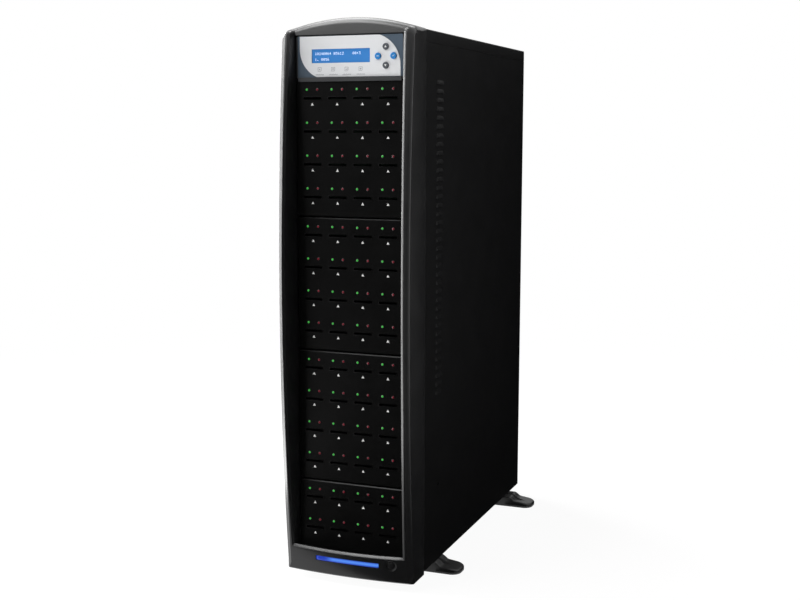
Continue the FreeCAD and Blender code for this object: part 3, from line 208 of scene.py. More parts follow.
RED = glow(surface("red_lens", (84, 12, 24), 0.25, mottle=0.1), (128, 12, 36), 0.35)
LIGHT = surface("light_bar_lens", (8, 28, 96), 0.22, mottle=0.15, mottle_scale=60.0)

# Glow of the light bar: its ranges in metres, the rise of its bright line in millimetres
GLOW_LEFT = (-0.034, -0.018)
GLOW_LEFT_SHARE = 0.04
GLOW_RISE = 0.4
GLOW_AWAY = (0.0006, 0.003)
GLOW_AWAY_SHARE = 0.12
GLOW_DEEP = (12, 48, 170)
GLOW_BRIGHT = (92, 150, 252)
GLOW_STRENGTH = 0.85


def bar_glow(made):
    """The lens glows most along its upper middle, and less at its left end."""
    tree = made.node_tree
    place = tree.nodes.new("ShaderNodeTexCoord")
    parts = tree.nodes.new("ShaderNodeSeparateXYZ")
    tree.links.new(place.outputs["Object"], parts.inputs["Vector"])
    along = mapped(tree, parts.outputs["X"], GLOW_LEFT, (GLOW_LEFT_SHARE, 1.0), smooth=True)
    height = reckoned(tree, "SUBTRACT", parts.outputs["Z"], (BAR_Z + GLOW_RISE) * MM)
    away = reckoned(tree, "ABSOLUTE", height)
    across = mapped(tree, away, GLOW_AWAY, (1.0, GLOW_AWAY_SHARE), smooth=True)
    share = reckoned(tree, "MULTIPLY", along, across)
    shader = tree.nodes["Principled BSDF"]
    tone = mixed(tree, share, linear(GLOW_DEEP), linear(GLOW_BRIGHT))
    tree.links.new(tone, shader.inputs["Emission Color"])
    shader.inputs["Emission Strength"].default_value = GLOW_STRENGTH


bar_glow(LIGHT)

PANEL_NUMBERS = range(1, 5)
NODE_FINISHES = (
    (BEZEL, ("front_bezel",)),
    (LIGHT, ("light_bar",)),
    (TRIM, ("power_button", "control_panel_frame")),
    (GREEN, ("green_lamps",)),
    (RED, ("red_lamps",)),
    (PLATE, ("panel_plate",)),
    (LABEL, ("panel_label",)),
    (DISPLAY, ("lcd_glass",)),
    (KEY_GREY, ("key_1", "key_4")),
    (KEY_BLUE, ("key_2", "key_3")),
    (CASE, ("base_pan", "rear_panel", "left_side_panel", "right_side_panel", "top_cover")),
    (PLATED, ("front_frame", "rear_screws", "controller_shelf", "foot_pivots")),
    (PLATED, ("psu_housing", "psu_end_plate")),
    (CONTACT, ("standoffs", "inlet_pins")),
    (SINK, ("heat_sink",)),
    (FAN, ("psu_fan_frame", "psu_fan_rotor", "exhaust_fan_frame", "exhaust_fan_rotor")),
    (FOOT, ("front_left_foot", "front_right_foot", "rear_left_foot", "rear_right_foot")),
    (PANEL, [f"slot_panel_{number}" for number in PANEL_NUMBERS]),
    (BOARD, ["light_bar_board", "lcd_board", "key_board", "controller_board"]),
    (BOARD, [f"slot_board_{number}" for number in PANEL_NUMBERS]),
    (COMPONENT, ("power_switch", "key_switches", "controller_chip", "mains_inlet", "rocker_frame", "rocker")),
    (COMPONENT, [f"card_sockets_{number}" for number in PANEL_NUMBERS]),
)
NODE_MATERIALS = {name: made for made, names in NODE_FINISHES for name in names}
for name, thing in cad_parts.items():
    thing.data.materials.clear()
    thing.data.materials.append(NODE_MATERIALS[name])


# Mesh helpers

AXIS = 0.05
DISH_SHARES = (0.8, 0.6, 0.4, 0.2, 0.02)
SAME_POINT = 1e-6


def placed(name, data):
    """A new object in the scene."""
    made = bpy.data.objects.new(name, data)
    bpy.context.scene.collection.objects.link(made)
    return made


def piece(name, mesh, material, body="case", angle=35.0):
    """Put a mesh into the scene as a smooth-shaded piece that rides on a body."""
    made = placed(name, mesh)
    mesh.materials.clear()
    mesh.materials.append(material)
    mesh.shade_smooth()
    mesh.set_sharp_from_angle(angle=radians(angle))
    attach(made, body)
    return made


def mesh_from(name, points, faces):
    """A mesh from points in millimetres."""
    mesh = bpy.data.meshes.new(name)
    mesh.from_pydata([mm(*point) for point in points], [], faces)
    mesh.validate()
    return mesh


def outward(mesh):
    """Turn every face of a closed mesh outwards."""
    work = bmesh.new()
    work.from_mesh(mesh)
    bmesh.ops.remove_doubles(work, verts=work.verts, dist=SAME_POINT)
    bmesh.ops.recalc_face_normals(work, faces=work.faces)
    work.to_mesh(mesh)
    work.free()
    return mesh


def skinned(name, stations, closed=False):
    """A closed mesh through rings of points, one ring after another, with a cap at either end."""
    count = len(stations[0])
    points = [point for ring in stations for point in ring]
    faces = []
    runs = len(stations) if closed else len(stations) - 1
    for run in range(runs):
        this = run * count
        following = ((run + 1) % len(stations)) * count
        for step in range(count):
            after = (step + 1) % count
            faces.append((this + step, this + after, following + after, following + step))
    if not closed:
        faces.append(tuple(range(count)))
        faces.append(tuple(range((len(stations) - 1) * count, len(stations) * count)))
    return outward(mesh_from(name, points, faces))


def swung(centre, radius, turn, y):
    """A point at an angle about the Y direction."""
    return centre[0] + radius * cos(turn), y, centre[1] + radius * sin(turn)


def circle(centre, radius, y, segments):
    return [swung(centre, radius, 2 * pi * step / segments, y) for step in range(segments)]


def turned(name, profile, centre, segments=48):
    """A body of revolution about the Y direction; the profile is (radius, y) from axis to axis."""
    return skinned(name, [circle(centre, radius, y, segments) for radius, y in profile])


def block_mesh(name, x, y, z):
    points = [(i, j, k) for i in x for j in y for k in z]
    faces = [(0, 1, 3, 2), (4, 6, 7, 5), (0, 4, 5, 1), (2, 3, 7, 6), (0, 2, 6, 4), (1, 5, 7, 3)]
    return outward(mesh_from(name, points, faces))


def joined(name, meshes):
    work = bmesh.new()
    for mesh in meshes:
        work.from_mesh(mesh)
    made = bpy.data.meshes.new(name)
    work.to_mesh(made)
    work.free()
    return made


def repeated(name, mesh, places):
    """Copies of one mesh at places given in millimetres, in one mesh."""
    copies = []
    for place in places:
        copies.append(mesh.copy())
        copies[-1].transform(Matrix.Translation(mm(*place)))
    made = joined(name, copies)
    for copy in copies:
        bpy.data.meshes.remove(copy)
    return made


def flat_shape(name, outline, front, depth):
    """A closed outline in X and Z, pressed out between two levels of Y."""
    return skinned(name, [[(x, y, z) for x, z in outline] for y in (front + depth, front)])


def carved(mesh, *tools):
    """The mesh with the tools' spaces taken out of it."""
    whole = placed("carved_whole", mesh)
    extras = []
    for number, tool in enumerate(tools):
        extras.append(placed(f"carved_tool_{number}", tool))
        change = whole.modifiers.new(f"carve_{number}", "BOOLEAN")
        change.operation = "DIFFERENCE"
        change.object = extras[-1]
        change.solver = "EXACT"
    shown = whole.evaluated_get(bpy.context.evaluated_depsgraph_get())
    made = bpy.data.meshes.new_from_object(shown)
    for thing in [whole] + extras:
        bpy.data.objects.remove(thing)
    return made


def quarter(steps):
    """The angles of a quarter turn in equal steps, with both ends."""
    return [pi / 2 * step / steps for step in range(steps + 1)]


def rectangle(x, z):
    """The corners of a rectangle from half its width and half its height."""
    return [(-x, -z), (x, -z), (x, z), (-x, z)]


def rounded(radius, front, wide, deep, steps):
    """Profile points of a rounded edge, from the side of a cap to its front."""
    return [(radius - wide * (1 - cos(turn)), front + deep * (1 - sin(turn)))
            for turn in quarter(steps)[1:]]


def level_at(profile, place):
    """The level of a line of straight runs at a place along it."""
    for (start, before), (end, after) in zip(profile, profile[1:]):
        if place <= end:
            return before + (after - before) * (place - start) / (end - start)
    return profile[-1][1]


def dished(radius, front, deep):
    """Profile points of a top that is hollow by a depth, from its edge to its middle."""
    return [(radius * share, front + deep * (1 - share * share)) for share in DISH_SHARES]


# Front bezel: the curves of its front, then its rounds and bevels

BOW_RADIUS = 3490.0
NOSE_REACH = 28.5
CROWN = 6.0
CROWN_SWEEP = (HALF * HALF + CROWN * CROWN) / (2 * CROWN)
BOW_MIDDLE = (BAY_TOP + BAY_FLOOR) / 2
BOW_AXIS = FACE - NOSE_REACH + BOW_RADIUS
ARCH_RISE = 14.9
ARCH_SWEEP = (HALF * HALF + ARCH_RISE * ARCH_RISE) / (2 * ARCH_RISE)
HEAD_FRONT = FACE - 1.0
HEAD_LEAN = 0.09
HEAD_ROUND = 10.0
HEAD_LAP = 0.7
HEAD_LEAST = 0.2
HEAD_INSET = 0.03
FLARE = 6.9 / 36.5
FLARE_GUESS = 6.0
FLARE_ROUNDS = 8
LEDGE_ENDS = 45.5
LEDGE_SAG = 2.8
LEDGE_LIP = 3.2
LEDGE_FILL = 1.4
LEDGE_BEVEL = 3.4
CHIN_BEVEL = 2.0
CORNER_RIM_DEPTH = 3.6
CORNER_LIP_DEPTH = 2.4
STILE_TOP = 716.0
STILE_DROP = 3.4
STILE_ROUND = 7.0
WALL_ROUND = 17.0
WALL_STEP = 1.2
SHOULDER = 5.2
REAR_SHOULDER = 2.5
RIM_WIDTH = 6.8
RIM_DEPTH = 4.6
LIP_WIDTH = 3.7
LIP_DEPTH = 2.05
RIM_PROFILE = ((0.0, 1.15), (0.012, 1.04), (0.045, 0.955), (0.1, 0.88), (0.5, 0.48), (0.93, 0.08),
               (0.975, 0.02), (1.0, 0.0))
LIP_PROFILE = ((0.0, 0.0), (0.05, 0.012), (0.12, 0.07), (0.3, 0.25), (0.9, 0.86), (0.97, 0.96), (1.0, 1.1))
FRONT_STEPS = 10
STILE_STEPS = 60
CHIN_STEPS = 48
HEAD_STEPS = 72
CREST_STEPS = 8
ROUND_STEPS = 12

# Openings in the chin
CAVITY_HALF = 88.0
CAVITY_REAR = SEAM + 5.0
CAVITY_LEVELS = (15.0, 39.6)
TOOL_FRONT = FACE - 40.0
BAR_OPENING_HALF = 46.15
BAR_OPENING_RISE = 3.35
POWER_HOLE = 4.6
DISH_WIDTH = 8.0
DISH_DEPTH = 2.6
DISH_CENTRE = (POWER[0] + 2.2, POWER[1] - 1.5)
DISH_STEPS = 40


def skin(x, z):
    """The front surface of the bezel: bowed from top to bottom, crowned from side to side."""
    reach = BOW_RADIUS + CROWN - CROWN_SWEEP + sqrt(CROWN_SWEEP ** 2 - x * x)
    return BOW_AXIS - sqrt(reach * reach - (z - BOW_MIDDLE) ** 2)


def arch(x):
    return TOP + ARCH_RISE - ARCH_SWEEP + sqrt(ARCH_SWEEP ** 2 - x * x)


def mouth(z):
    """Half the width of the recess where its flared wall meets the front."""
    width = OPENING_HALF + FLARE_GUESS
    for _ in range(FLARE_ROUNDS):
        width = OPENING_HALF + FLARE * (HEAD_FRONT - skin(width, z))
    return width


def ledge(x, side):
    return LEDGE_ENDS - LEDGE_SAG + LEDGE_SAG * (x / side) ** 2


def bezel_section(outer, rim, inner, lip, back):
    """One ring of points: side, bevel at the rim, front, bevel at the mouth, recess wall, back."""
    ring = [(outer[0], SEAM, outer[1])]
    for share, depth in RIM_PROFILE:
        x = outer[0] + rim[0] * share
        z = outer[1] + rim[1] * share
        ring.append((x, skin(x, z) + rim[2] * depth, z))
    start = (outer[0] + rim[0], outer[1] + rim[1])
    end = (inner[0] - lip[0], inner[1] - lip[1])
    for step in range(1, FRONT_STEPS):
        share = step / FRONT_STEPS
        x = start[0] + (end[0] - start[0]) * share
        z = start[1] + (end[1] - start[1]) * share
        ring.append((x, skin(x, z), z))
    for share, depth in LIP_PROFILE:
        x = inner[0] - lip[0] * (1 - share)
        z = inner[1] - lip[1] * (1 - share)
        ring.append((x, skin(x, z) + lip[2] * depth, z))
    ring.append((back[0], HEAD_FRONT, back[1]))
    ring.append((back[0], SEAM, back[1]))
    return ring


def stile_sections(hand):
    """From the bottom corner up to the foot of the rounded top."""
    rings = []
    rim = (-hand * RIM_WIDTH, 0.0, RIM_DEPTH)
    lip = (-hand * LIP_WIDTH, 0.0, LIP_DEPTH)
    low = LEDGE_ENDS + LEDGE_LIP
    for step in range(1, STILE_STEPS + 1):
        share = step / STILE_STEPS
        outer_z = CHIN_BOTTOM + (STILE_TOP - CHIN_BOTTOM) * share
        inner_z = low + (STILE_TOP - low) * share
        back_z = LEDGE_ENDS + (STILE_TOP - LEDGE_ENDS) * share
        rings.append(bezel_section((hand * HALF, outer_z), rim, (hand * mouth(inner_z), inner_z), lip,
                                   (hand * OPENING_HALF, back_z)))
    return rings


def stile_front(x, z, inner):
    """The front of a stile at a distance from the middle: recess wall, mouth bevel, skin, rim bevel."""
    if x < inner:
        edge = skin(inner, z) + LIP_DEPTH * LIP_PROFILE[-1][1]
        return HEAD_FRONT + (edge - HEAD_FRONT) * (x - OPENING_HALF) / (inner - OPENING_HALF)
    lip = LIP_DEPTH * level_at(LIP_PROFILE, max(0.0, 1 - (x - inner) / LIP_WIDTH))
    rim = RIM_DEPTH * level_at(RIM_PROFILE, min(1.0, (HALF - x) / RIM_WIDTH))
    return skin(x, z) + lip + rim


def stile_cap(hand):
    """The top of a stile: it rounds back from the front and over to the side, as far as the seam."""
    inner = mouth(STILE_TOP)
    places = [OPENING_HALF, OPENING_HALF + WALL_STEP, inner]
    places += [inner + LIP_WIDTH * (1 - share) for share, _ in LIP_PROFILE[:-1]]
    places += [HALF - RIM_WIDTH * share for share, _ in RIM_PROFILE]
    places += [HALF - SHOULDER * (1 - sin(turn)) for turn in quarter(ROUND_STEPS)[1:-1]]
    rings = []
    for x in sorted(places):
        near = min(1.0, max(0.0, 1 - (x - inner) / LIP_WIDTH))
        reach = STILE_ROUND + (WALL_ROUND - STILE_ROUND) * near
        front = stile_front(x, STILE_TOP, inner) + reach
        crest = []
        for step in range(CREST_STEPS + 1):
            share = step / CREST_STEPS
            y = front + (SEAM - front) * share
            round_over = SHOULDER + (REAR_SHOULDER - SHOULDER) * share
            beyond = max(0.0, x - (HALF - round_over))
            fall = round_over - sqrt(max(0.0, round_over ** 2 - beyond ** 2))
            crest.append((hand * x, y, arch(x) - STILE_DROP * (1 - share) - fall))
        top = crest[0][2]
        ring = [(hand * x, SEAM, STILE_TOP), (hand * x, stile_front(x, STILE_TOP, inner), STILE_TOP)]
        for turn in quarter(ROUND_STEPS):
            z = top - STILE_ROUND * (1 - sin(turn))
            ring.append((hand * x, stile_front(x, z, inner) + reach * (1 - cos(turn)), z))
        ring[-1] = crest[0]
        rings.append(ring + crest[1:])
    return skinned("stile_cap", rings)


def corner_section(hand):
    """The ring at a bottom corner, between the chin and a stile."""
    rim = (-hand * RIM_WIDTH, CHIN_BEVEL, CORNER_RIM_DEPTH)
    lip = (-hand * LIP_WIDTH, LEDGE_BEVEL, CORNER_LIP_DEPTH)
    inner = (hand * mouth(LEDGE_ENDS), LEDGE_ENDS + LEDGE_LIP)
    return bezel_section((hand * HALF, CHIN_BOTTOM), rim, inner, lip, (hand * OPENING_HALF, LEDGE_ENDS))


def chin_sections():
    """From the left corner to the right one."""
    rings = []
    side = mouth(LEDGE_ENDS)
    rim = (0.0, CHIN_BEVEL, CHIN_BEVEL)
    lip = (0.0, LEDGE_BEVEL, LEDGE_BEVEL)
    for step in range(1, CHIN_STEPS):
        share = step / CHIN_STEPS
        x = HALF * (2 * share - 1)
        inner_x = side * (2 * share - 1)
        back_x = OPENING_HALF * (2 * share - 1)
        edge = ledge(inner_x, side) + LEDGE_LIP + LEDGE_FILL * (1 - (inner_x / side) ** 2)
        rings.append(bezel_section((x, CHIN_BOTTOM), rim, (inner_x, edge), lip,
                                   (back_x, ledge(back_x, OPENING_HALF))))
    return rings


def head_mesh():
    """The arched head: a leaning front that turns into the top by a wide round."""
    rings = []
    reach = HALF - HEAD_INSET
    low = BAY_TOP - HEAD_LAP
    for step in range(HEAD_STEPS + 1):
        x = -reach * cos(pi * step / HEAD_STEPS)
        beyond = max(0.0, abs(x) - (HALF - SHOULDER))
        high = arch(x) - SHOULDER + sqrt(max(0.0, SHOULDER ** 2 - beyond ** 2))
        radius = min(HEAD_ROUND, high - low - HEAD_LEAST)
        ring = [(x, SEAM, low), (x, HEAD_FRONT, low)]
        for turn in quarter(ROUND_STEPS):
            z = high - radius * (1 - sin(turn))
            ring.append((x, HEAD_FRONT + HEAD_LEAN * (z - low) + radius * (1 - cos(turn)), z))
        ring.append((x, SEAM, high))
        rings.append(ring)
    return skinned("bezel_head", rings)


def button_dish():
    """A ball that hollows the chin round the power button."""
    sweep = (DISH_WIDTH ** 2 + DISH_DEPTH ** 2) / (2 * DISH_DEPTH)
    middle = skin(*POWER) + DISH_DEPTH - sweep
    turns = [pi * step / DISH_STEPS for step in range(1, DISH_STEPS)]
    profile = [(sweep * sin(turn), middle - sweep * cos(turn)) for turn in turns]
    return turned("button_dish", profile, DISH_CENTRE, 96)


def bezel():
    rings = stile_sections(-1)[::-1] + [corner_section(-1)]
    rings += chin_sections()
    rings += [corner_section(1)] + stile_sections(1)
    ring = skinned("bezel_ring", rings)
    cavity = block_mesh("chin_cavity", (-CAVITY_HALF, CAVITY_HALF), (POWER_REAR, CAVITY_REAR), CAVITY_LEVELS)
    bar = block_mesh("bar_opening", (-BAR_OPENING_HALF, BAR_OPENING_HALF), (TOOL_FRONT, FACE),
                     (BAR_Z - BAR_OPENING_RISE, BAR_Z + BAR_OPENING_RISE))
    hole = turned("button_opening", [(POWER_HOLE, TOOL_FRONT), (POWER_HOLE, FACE)], POWER)
    ring = carved(ring, cavity, bar, hole, button_dish())
    shape = joined("bezel_shape", [ring, head_mesh(), stile_cap(-1), stile_cap(1)])
    made = piece("bezel_moulding", shape, BEZEL, angle=32.0)
    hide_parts("front_bezel")


bezel()


# Light bar and top cover

BAR_STEPS = 40
BAR_SETBACK = 0.15
BAR_SOFT = 1.2
BAR_PROFILE = ((BAR_HALF_HEIGHT, BAR_SOFT), (2.85, 0.35), (2.0, 0.0))
COVER_BEND = 1.9
COVER_SHEET = 1.0
COVER_LOW = TOP - 16.0


def light_bar():
    """The bar follows the chin and has soft edges."""
    rings = []
    for step in range(BAR_STEPS + 1):
        x = BAR_HALF * (2 * step / BAR_STEPS - 1)
        end = min(1.0, (BAR_HALF - abs(x)) / BAR_SOFT)
        edge = BAR_SOFT * (1 - sqrt(max(0.0, 1 - (1 - end) ** 2)))
        front = skin(x, BAR_Z) + BAR_SETBACK + edge
        ring = [(x, BAR_REAR, BAR_Z - BAR_HALF_HEIGHT)]
        ring += [(x, front + depth, BAR_Z - away) for away, depth in BAR_PROFILE]
        ring += [(x, front + depth, BAR_Z + away) for away, depth in BAR_PROFILE[::-1]]
        ring.append((x, BAR_REAR, BAR_Z + BAR_HALF_HEIGHT))
        rings.append(ring)
    made = piece("light_bar_lens", skinned("light_bar_lens", rings), LIGHT, angle=60.0)
    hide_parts("light_bar")


def top_cover():
    """A sheet bent down at both sides, with the round of the bend."""
    outer = [(HALF, COVER_LOW)]
    inner = [(HALF - COVER_SHEET, COVER_LOW)]
    hollow = COVER_BEND - COVER_SHEET
    for turn in quarter(8):
        across = cos(turn)
        up = sin(turn)
        outer.append((HALF - COVER_BEND * (1 - across), TOP - COVER_BEND * (1 - up)))
        inner.append((HALF - COVER_BEND + hollow * across, TOP - COVER_BEND + hollow * up))
    section = outer + [(-x, z) for x, z in outer[::-1]] + [(-x, z) for x, z in inner] + inner[::-1]
    rings = [[(x, y, z) for x, z in section] for y in (SEAM, REAR)]
    made = piece("cover_sheet", skinned("cover_sheet", rings), CASE)
    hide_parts("top_cover")


light_bar()
top_cover()


# Lamps, pointers and slot lips on the panels; a rise is how far a point stands out from the face

LENS_RADIUS = 1.42
LENS_RIM = 0.3
LENS_DOME = 0.7
LENS_SIDES = 20
COLLAR_PROFILE = ((2.0, -0.02), (2.0, 0.12), (1.85, 0.22), (1.6, 0.24), (1.44, 0.1))
POINTER = ((-2.0, -1.75), (2.0, -1.75), (0.0, 1.75))
POINTER_RISE = 0.06
POINTER_DEPTH = 0.05
FRAME_OUTER = rectangle(13.6, 2.4)
FRAME_MIDDLE = rectangle(13.2, 2.0)
FRAME_INNER = rectangle(12.5, 1.6)
FRAME_RINGS = ((FRAME_OUTER, -0.02), (FRAME_OUTER, 0.05), (FRAME_MIDDLE, 0.15),
                  (FRAME_INNER, 0.1), (FRAME_INNER, -1.2))
SLOT_CAP_AREA = 4e-5
FACING = 0.99


def cells():
    """The middle of each cell's lamp row, cell by cell."""
    for high, rows in zip(MODULE_TOPS, MODULE_ROWS):
        for row in range(rows):
            for x in COLUMNS:
                yield x, high - LAMP_DROP - ROW_PITCH * row


def lamps():
    """A domed lens in a thin collar, green and red in every cell."""
    lens = [(LENS_RADIUS, FACE), (LENS_RADIUS, FACE - LENS_RIM)]
    for turn in quarter(6)[1:-1]:
        lens.append((LENS_RADIUS * cos(turn), FACE - LENS_RIM - LENS_DOME * sin(turn)))
    lens.append((AXIS, FACE - LENS_RIM - LENS_DOME))
    collar = [(radius, FACE - rise) for radius, rise in COLLAR_PROFILE]
    for name, node, offset, material, slot in (
            ("green_lenses", "green_lamps", GREEN_OFFSET, GREEN, "green_lamp"),
            ("red_lenses", "red_lamps", RED_OFFSET, RED, "red_lamp")):
        places = [(x + offset, 0.0, z) for x, z in cells()]
        domes = repeated(name, turned("lens", lens, (0.0, 0.0), LENS_SIDES), places)
        made = piece(name, domes, material)
        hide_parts(node)
        collars = repeated("collars", turned("collar", collar, (0.0, 0.0), LENS_SIDES), places)
        piece(f"{node}_collars", collars, COMPONENT)


def marks():
    """A white pointer under each slot."""
    pointer = flat_shape("pointer", POINTER, FACE - POINTER_RISE, POINTER_DEPTH)
    places = [(x, 0.0, z - MARK_DROP) for x, z in cells()]
    piece("slot_pointers", repeated("slot_pointers", pointer, places), WHITE)


def slot_lips():
    """A thin raised frame round each card slot, open in front and behind."""
    lip = skinned("slot_lip", [[(x, FACE - rise, z) for x, z in shape] for shape, rise in FRAME_RINGS])
    work = bmesh.new()
    work.from_mesh(lip)
    caps = [face for face in work.faces
            if len(face.verts) == 4 and abs(face.normal.y) > FACING and face.calc_area() > SLOT_CAP_AREA]
    bmesh.ops.delete(work, geom=caps, context="FACES_ONLY")
    work.to_mesh(lip)
    work.free()
    places = [(x, 0.0, z - SLOT_DROP) for x, z in cells()]
    piece("slot_lips", repeated("slot_lips", lip, places), PANEL)


lamps()
marks()
slot_lips()


# Display, its characters, and the print on the label

DIGITS = {
    "0": ("01110", "10001", "10011", "10101", "11001", "10001", "01110"),
    "1": ("00100", "01100", "00100", "00100", "00100", "00100", "01110"),
    "2": ("01110", "10001", "00001", "00010", "00100", "01000", "11111"),
    "3": ("11111", "00010", "00100", "00010", "00001", "10001", "01110"),
    "4": ("00010", "00110", "01010", "10010", "11111", "00010", "00010"),
    "5": ("11111", "10000", "11110", "00001", "00001", "10001", "01110"),
    "6": ("00110", "01000", "10000", "11110", "10001", "10001", "01110"),
    ":": ("00000", "01100", "01100", "00000", "01100", "01100", "00000"),
    ".": ("00000", "00000", "00000", "00000", "00000", "01100", "01100"),
    " ": (),
}
ROWS = ("10240064 05612    00:3", "1. 0056")
DISPLAY_FRONT = FACE + 1.0
DISPLAY_BORDER = 2.9
DISPLAY_RINGS = ((0.0, FACE + 2.5), (0.0, DISPLAY_FRONT + 0.3), (0.3, DISPLAY_FRONT + 0.04))
DOT_HALF = 0.2
DOT_PITCH = 0.46
DOT_DEPTH = 0.05
FIRST_COLUMN = 4.4
COLUMN_STEP = 2.95
FIRST_ROW = 4.5
ROW_STEP = 7.3
PRINT_DEPTH = 0.03
PRINT_FRONT = LABEL_FRONT - PRINT_DEPTH
PICTURE_Z = 687.6
PICTURE_FRAME = ((-2.6, -2.6), (1.4, -2.6), (2.6, -1.4), (2.6, 2.6), (-2.6, 2.6))
PICTURE_SLIM = 0.82
PICTURE_OPENING = [(x * PICTURE_SLIM, z * PICTURE_SLIM) for x, z in PICTURE_FRAME]
ARROW = ((-1.2, -0.9), (1.2, -0.9), (0.0, 1.2))
DIAMOND = ((-1.3, 0.0), (0.0, -1.3), (1.3, 0.0), (0.0, 1.3))
RING_RADII = (1.3, 0.8)
RINGS = [[(x, z) for x, _, z in circle((0.0, 0.0), radius, 0.0, 32)] for radius in RING_RADII]
STROKE_HALF = 0.3
STROKE_LOW = -1.2
STROKE_HIGHS = ((-1, -0.1), (0, 0.4), (1, 0.9))
STROKES = [((x - STROKE_HALF, STROKE_LOW), (x + STROKE_HALF, STROKE_LOW), (x + STROKE_HALF, high),
            (x - STROKE_HALF, high)) for x, high in STROKE_HIGHS]
PICTURES = ((-42.2, [ARROW]), (-23.0, []), (-4.0, STROKES), (15.6, [DIAMOND]))
TICKS = 11
TICK_LOW = 680.2
TICK_START = 5.6
TICK_PITCH = 1.1
TICK_WIDTH = 0.55
TICK_HEIGHT = 1.1
TICK_CLIMB = 0.25


def display():
    x, z, width, height = WINDOW
    half_x = width / 2 + DISPLAY_BORDER
    half_z = height / 2 + DISPLAY_BORDER
    rings = []
    for inset, y in DISPLAY_RINGS:
        rings.append([(x + i * (1 - inset / half_x), y, z + k * (1 - inset / half_z))
                      for i, k in rectangle(half_x, half_z)])
    glass = piece("display_window", skinned("display_window", rings), DISPLAY)
    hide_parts("lcd_glass")
    dot = flat_shape("dot", rectangle(DOT_HALF, DOT_HALF), DISPLAY_FRONT, DOT_DEPTH)
    places = []
    for row, words in enumerate(ROWS):
        for column, mark in enumerate(words):
            for line, bits in enumerate(DIGITS[mark]):
                for step, bit in enumerate(bits):
                    if bit == "1":
                        places.append((x - width / 2 + FIRST_COLUMN + column * COLUMN_STEP + step * DOT_PITCH,
                                       0.0, z + FIRST_ROW - row * ROW_STEP - line * DOT_PITCH))
    piece("display_characters", repeated("display_characters", dot, places), PALE_PRINT)


def print_shape(x, z, outline):
    """A flat shape on the label, from an outline about its middle."""
    return flat_shape("print_shape", [(x + i, z + k) for i, k in outline], PRINT_FRONT, PRINT_DEPTH)


def print_frame(x, outer, inner):
    """A flat frame on the label, between two outlines about the middle of a picture."""
    back = PRINT_FRONT + PRINT_DEPTH
    levels = ((outer, back), (outer, PRINT_FRONT), (inner, PRINT_FRONT), (inner, back))
    rings = [[(x + i, y, PICTURE_Z + k) for i, k in outline] for outline, y in levels]
    return skinned("print_frame", rings, closed=True)


def label_print():
    """Four faint pictures under the display, each with a row of ticks below it."""
    meshes = []
    for x, outlines in PICTURES:
        meshes.append(print_frame(x, PICTURE_FRAME, PICTURE_OPENING))
        meshes += [print_shape(x, PICTURE_Z, outline) for outline in outlines]
        if not outlines:
            meshes.append(print_frame(x, *RINGS))
        for step in range(TICKS):
            left = x - TICK_START + TICK_PITCH * step
            high = TICK_HEIGHT + TICK_CLIMB * (step % 3)
            tick = ((0.0, 0.0), (TICK_WIDTH, 0.0), (TICK_WIDTH, high), (0.0, high))
            meshes.append(print_shape(left, TICK_LOW, tick))
    piece("label_pictures", joined("label_pictures", meshes), GREY_PRINT)


display()
label_print()


# Keys and the power button

KEY_FRONT = FACE - 1.8
KEY_RADIUS = 4.2
KEY_EDGE = 0.6
KEY_DISH = 0.12
KEY_STEM_HALF = 2.6
KEY_FLANGE_HALF = 5.1
KEY_LEVELS = (FACE + 0.1, FACE + 2.5, FACE + 3.7)
GLYPH_SINK = 0.03
GLYPH_DEPTH = 0.12
GLYPH_UP = ((-1.5, -1.1), (1.5, -1.1), (0.0, 1.5))
GLYPH_DOWN = [(i, -k) for i, k in GLYPH_UP]
GLYPH_BAR = rectangle(1.6, 0.45)
GLYPH_TICK = ((-1.5, 0.1), (-0.5, -1.1), (1.7, 1.2), (1.2, 1.6), (-0.5, -0.2), (-1.0, 0.6))
POWER_RADIUS = 4.4
POWER_SIDE = 1.6
POWER_SETBACK = 0.35
POWER_EDGE = 1.3
POWER_EDGE_DEPTH = 1.25
POWER_CROWN = 0.3
FLANGE_HALF = 5.6
FLANGE_RISE = 4.2
FLANGE_DEPTH = 1.2


def square_post(name, centre, half, y):
    x, z = centre
    return block_mesh(name, (x - half, x + half), y, (z - half, z + half))


def key_cap(centre):
    """A round cap with a soft shoulder and a slightly hollow top."""
    rear = KEY_LEVELS[0]
    profile = [(AXIS, rear), (KEY_RADIUS, rear), (KEY_RADIUS, KEY_FRONT + KEY_EDGE)]
    profile += rounded(KEY_RADIUS, KEY_FRONT, KEY_EDGE, KEY_EDGE, 6)
    profile += dished(KEY_RADIUS - KEY_EDGE, KEY_FRONT, KEY_DISH)
    return turned("cap", profile, centre, 40)


def keys():
    """Four caps, each on a stem and a flange, with its glyph."""
    x, z = KEY_CENTRE
    places = (("key_1", "key_up", (x, z + KEY_CLIMB), KEY_GREY, GLYPH_UP, "key_grey"),
              ("key_2", "key_left", (x - KEY_SPREAD, z), KEY_BLUE, GLYPH_BAR, "key_blue"),
              ("key_3", "key_right", (x + KEY_SPREAD, z), KEY_BLUE, GLYPH_TICK, "key_blue"),
              ("key_4", "key_down", (x, z - KEY_CLIMB), KEY_GREY, GLYPH_DOWN, "key_grey"))
    for node, body, centre, material, glyph, slot in places:
        stem = square_post("stem", centre, KEY_STEM_HALF, KEY_LEVELS[:2])
        flange = square_post("flange", centre, KEY_FLANGE_HALF, KEY_LEVELS[1:])
        made = piece(f"{node}_cap", joined(f"{node}_cap", [key_cap(centre), stem, flange]), material, body)
        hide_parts(node)
        outline = [(centre[0] + i, centre[1] + k) for i, k in glyph]
        shape = flat_shape("glyph", outline, KEY_FRONT + GLYPH_SINK, GLYPH_DEPTH)
        piece(f"{node}_glyph", shape, WHITE, body)


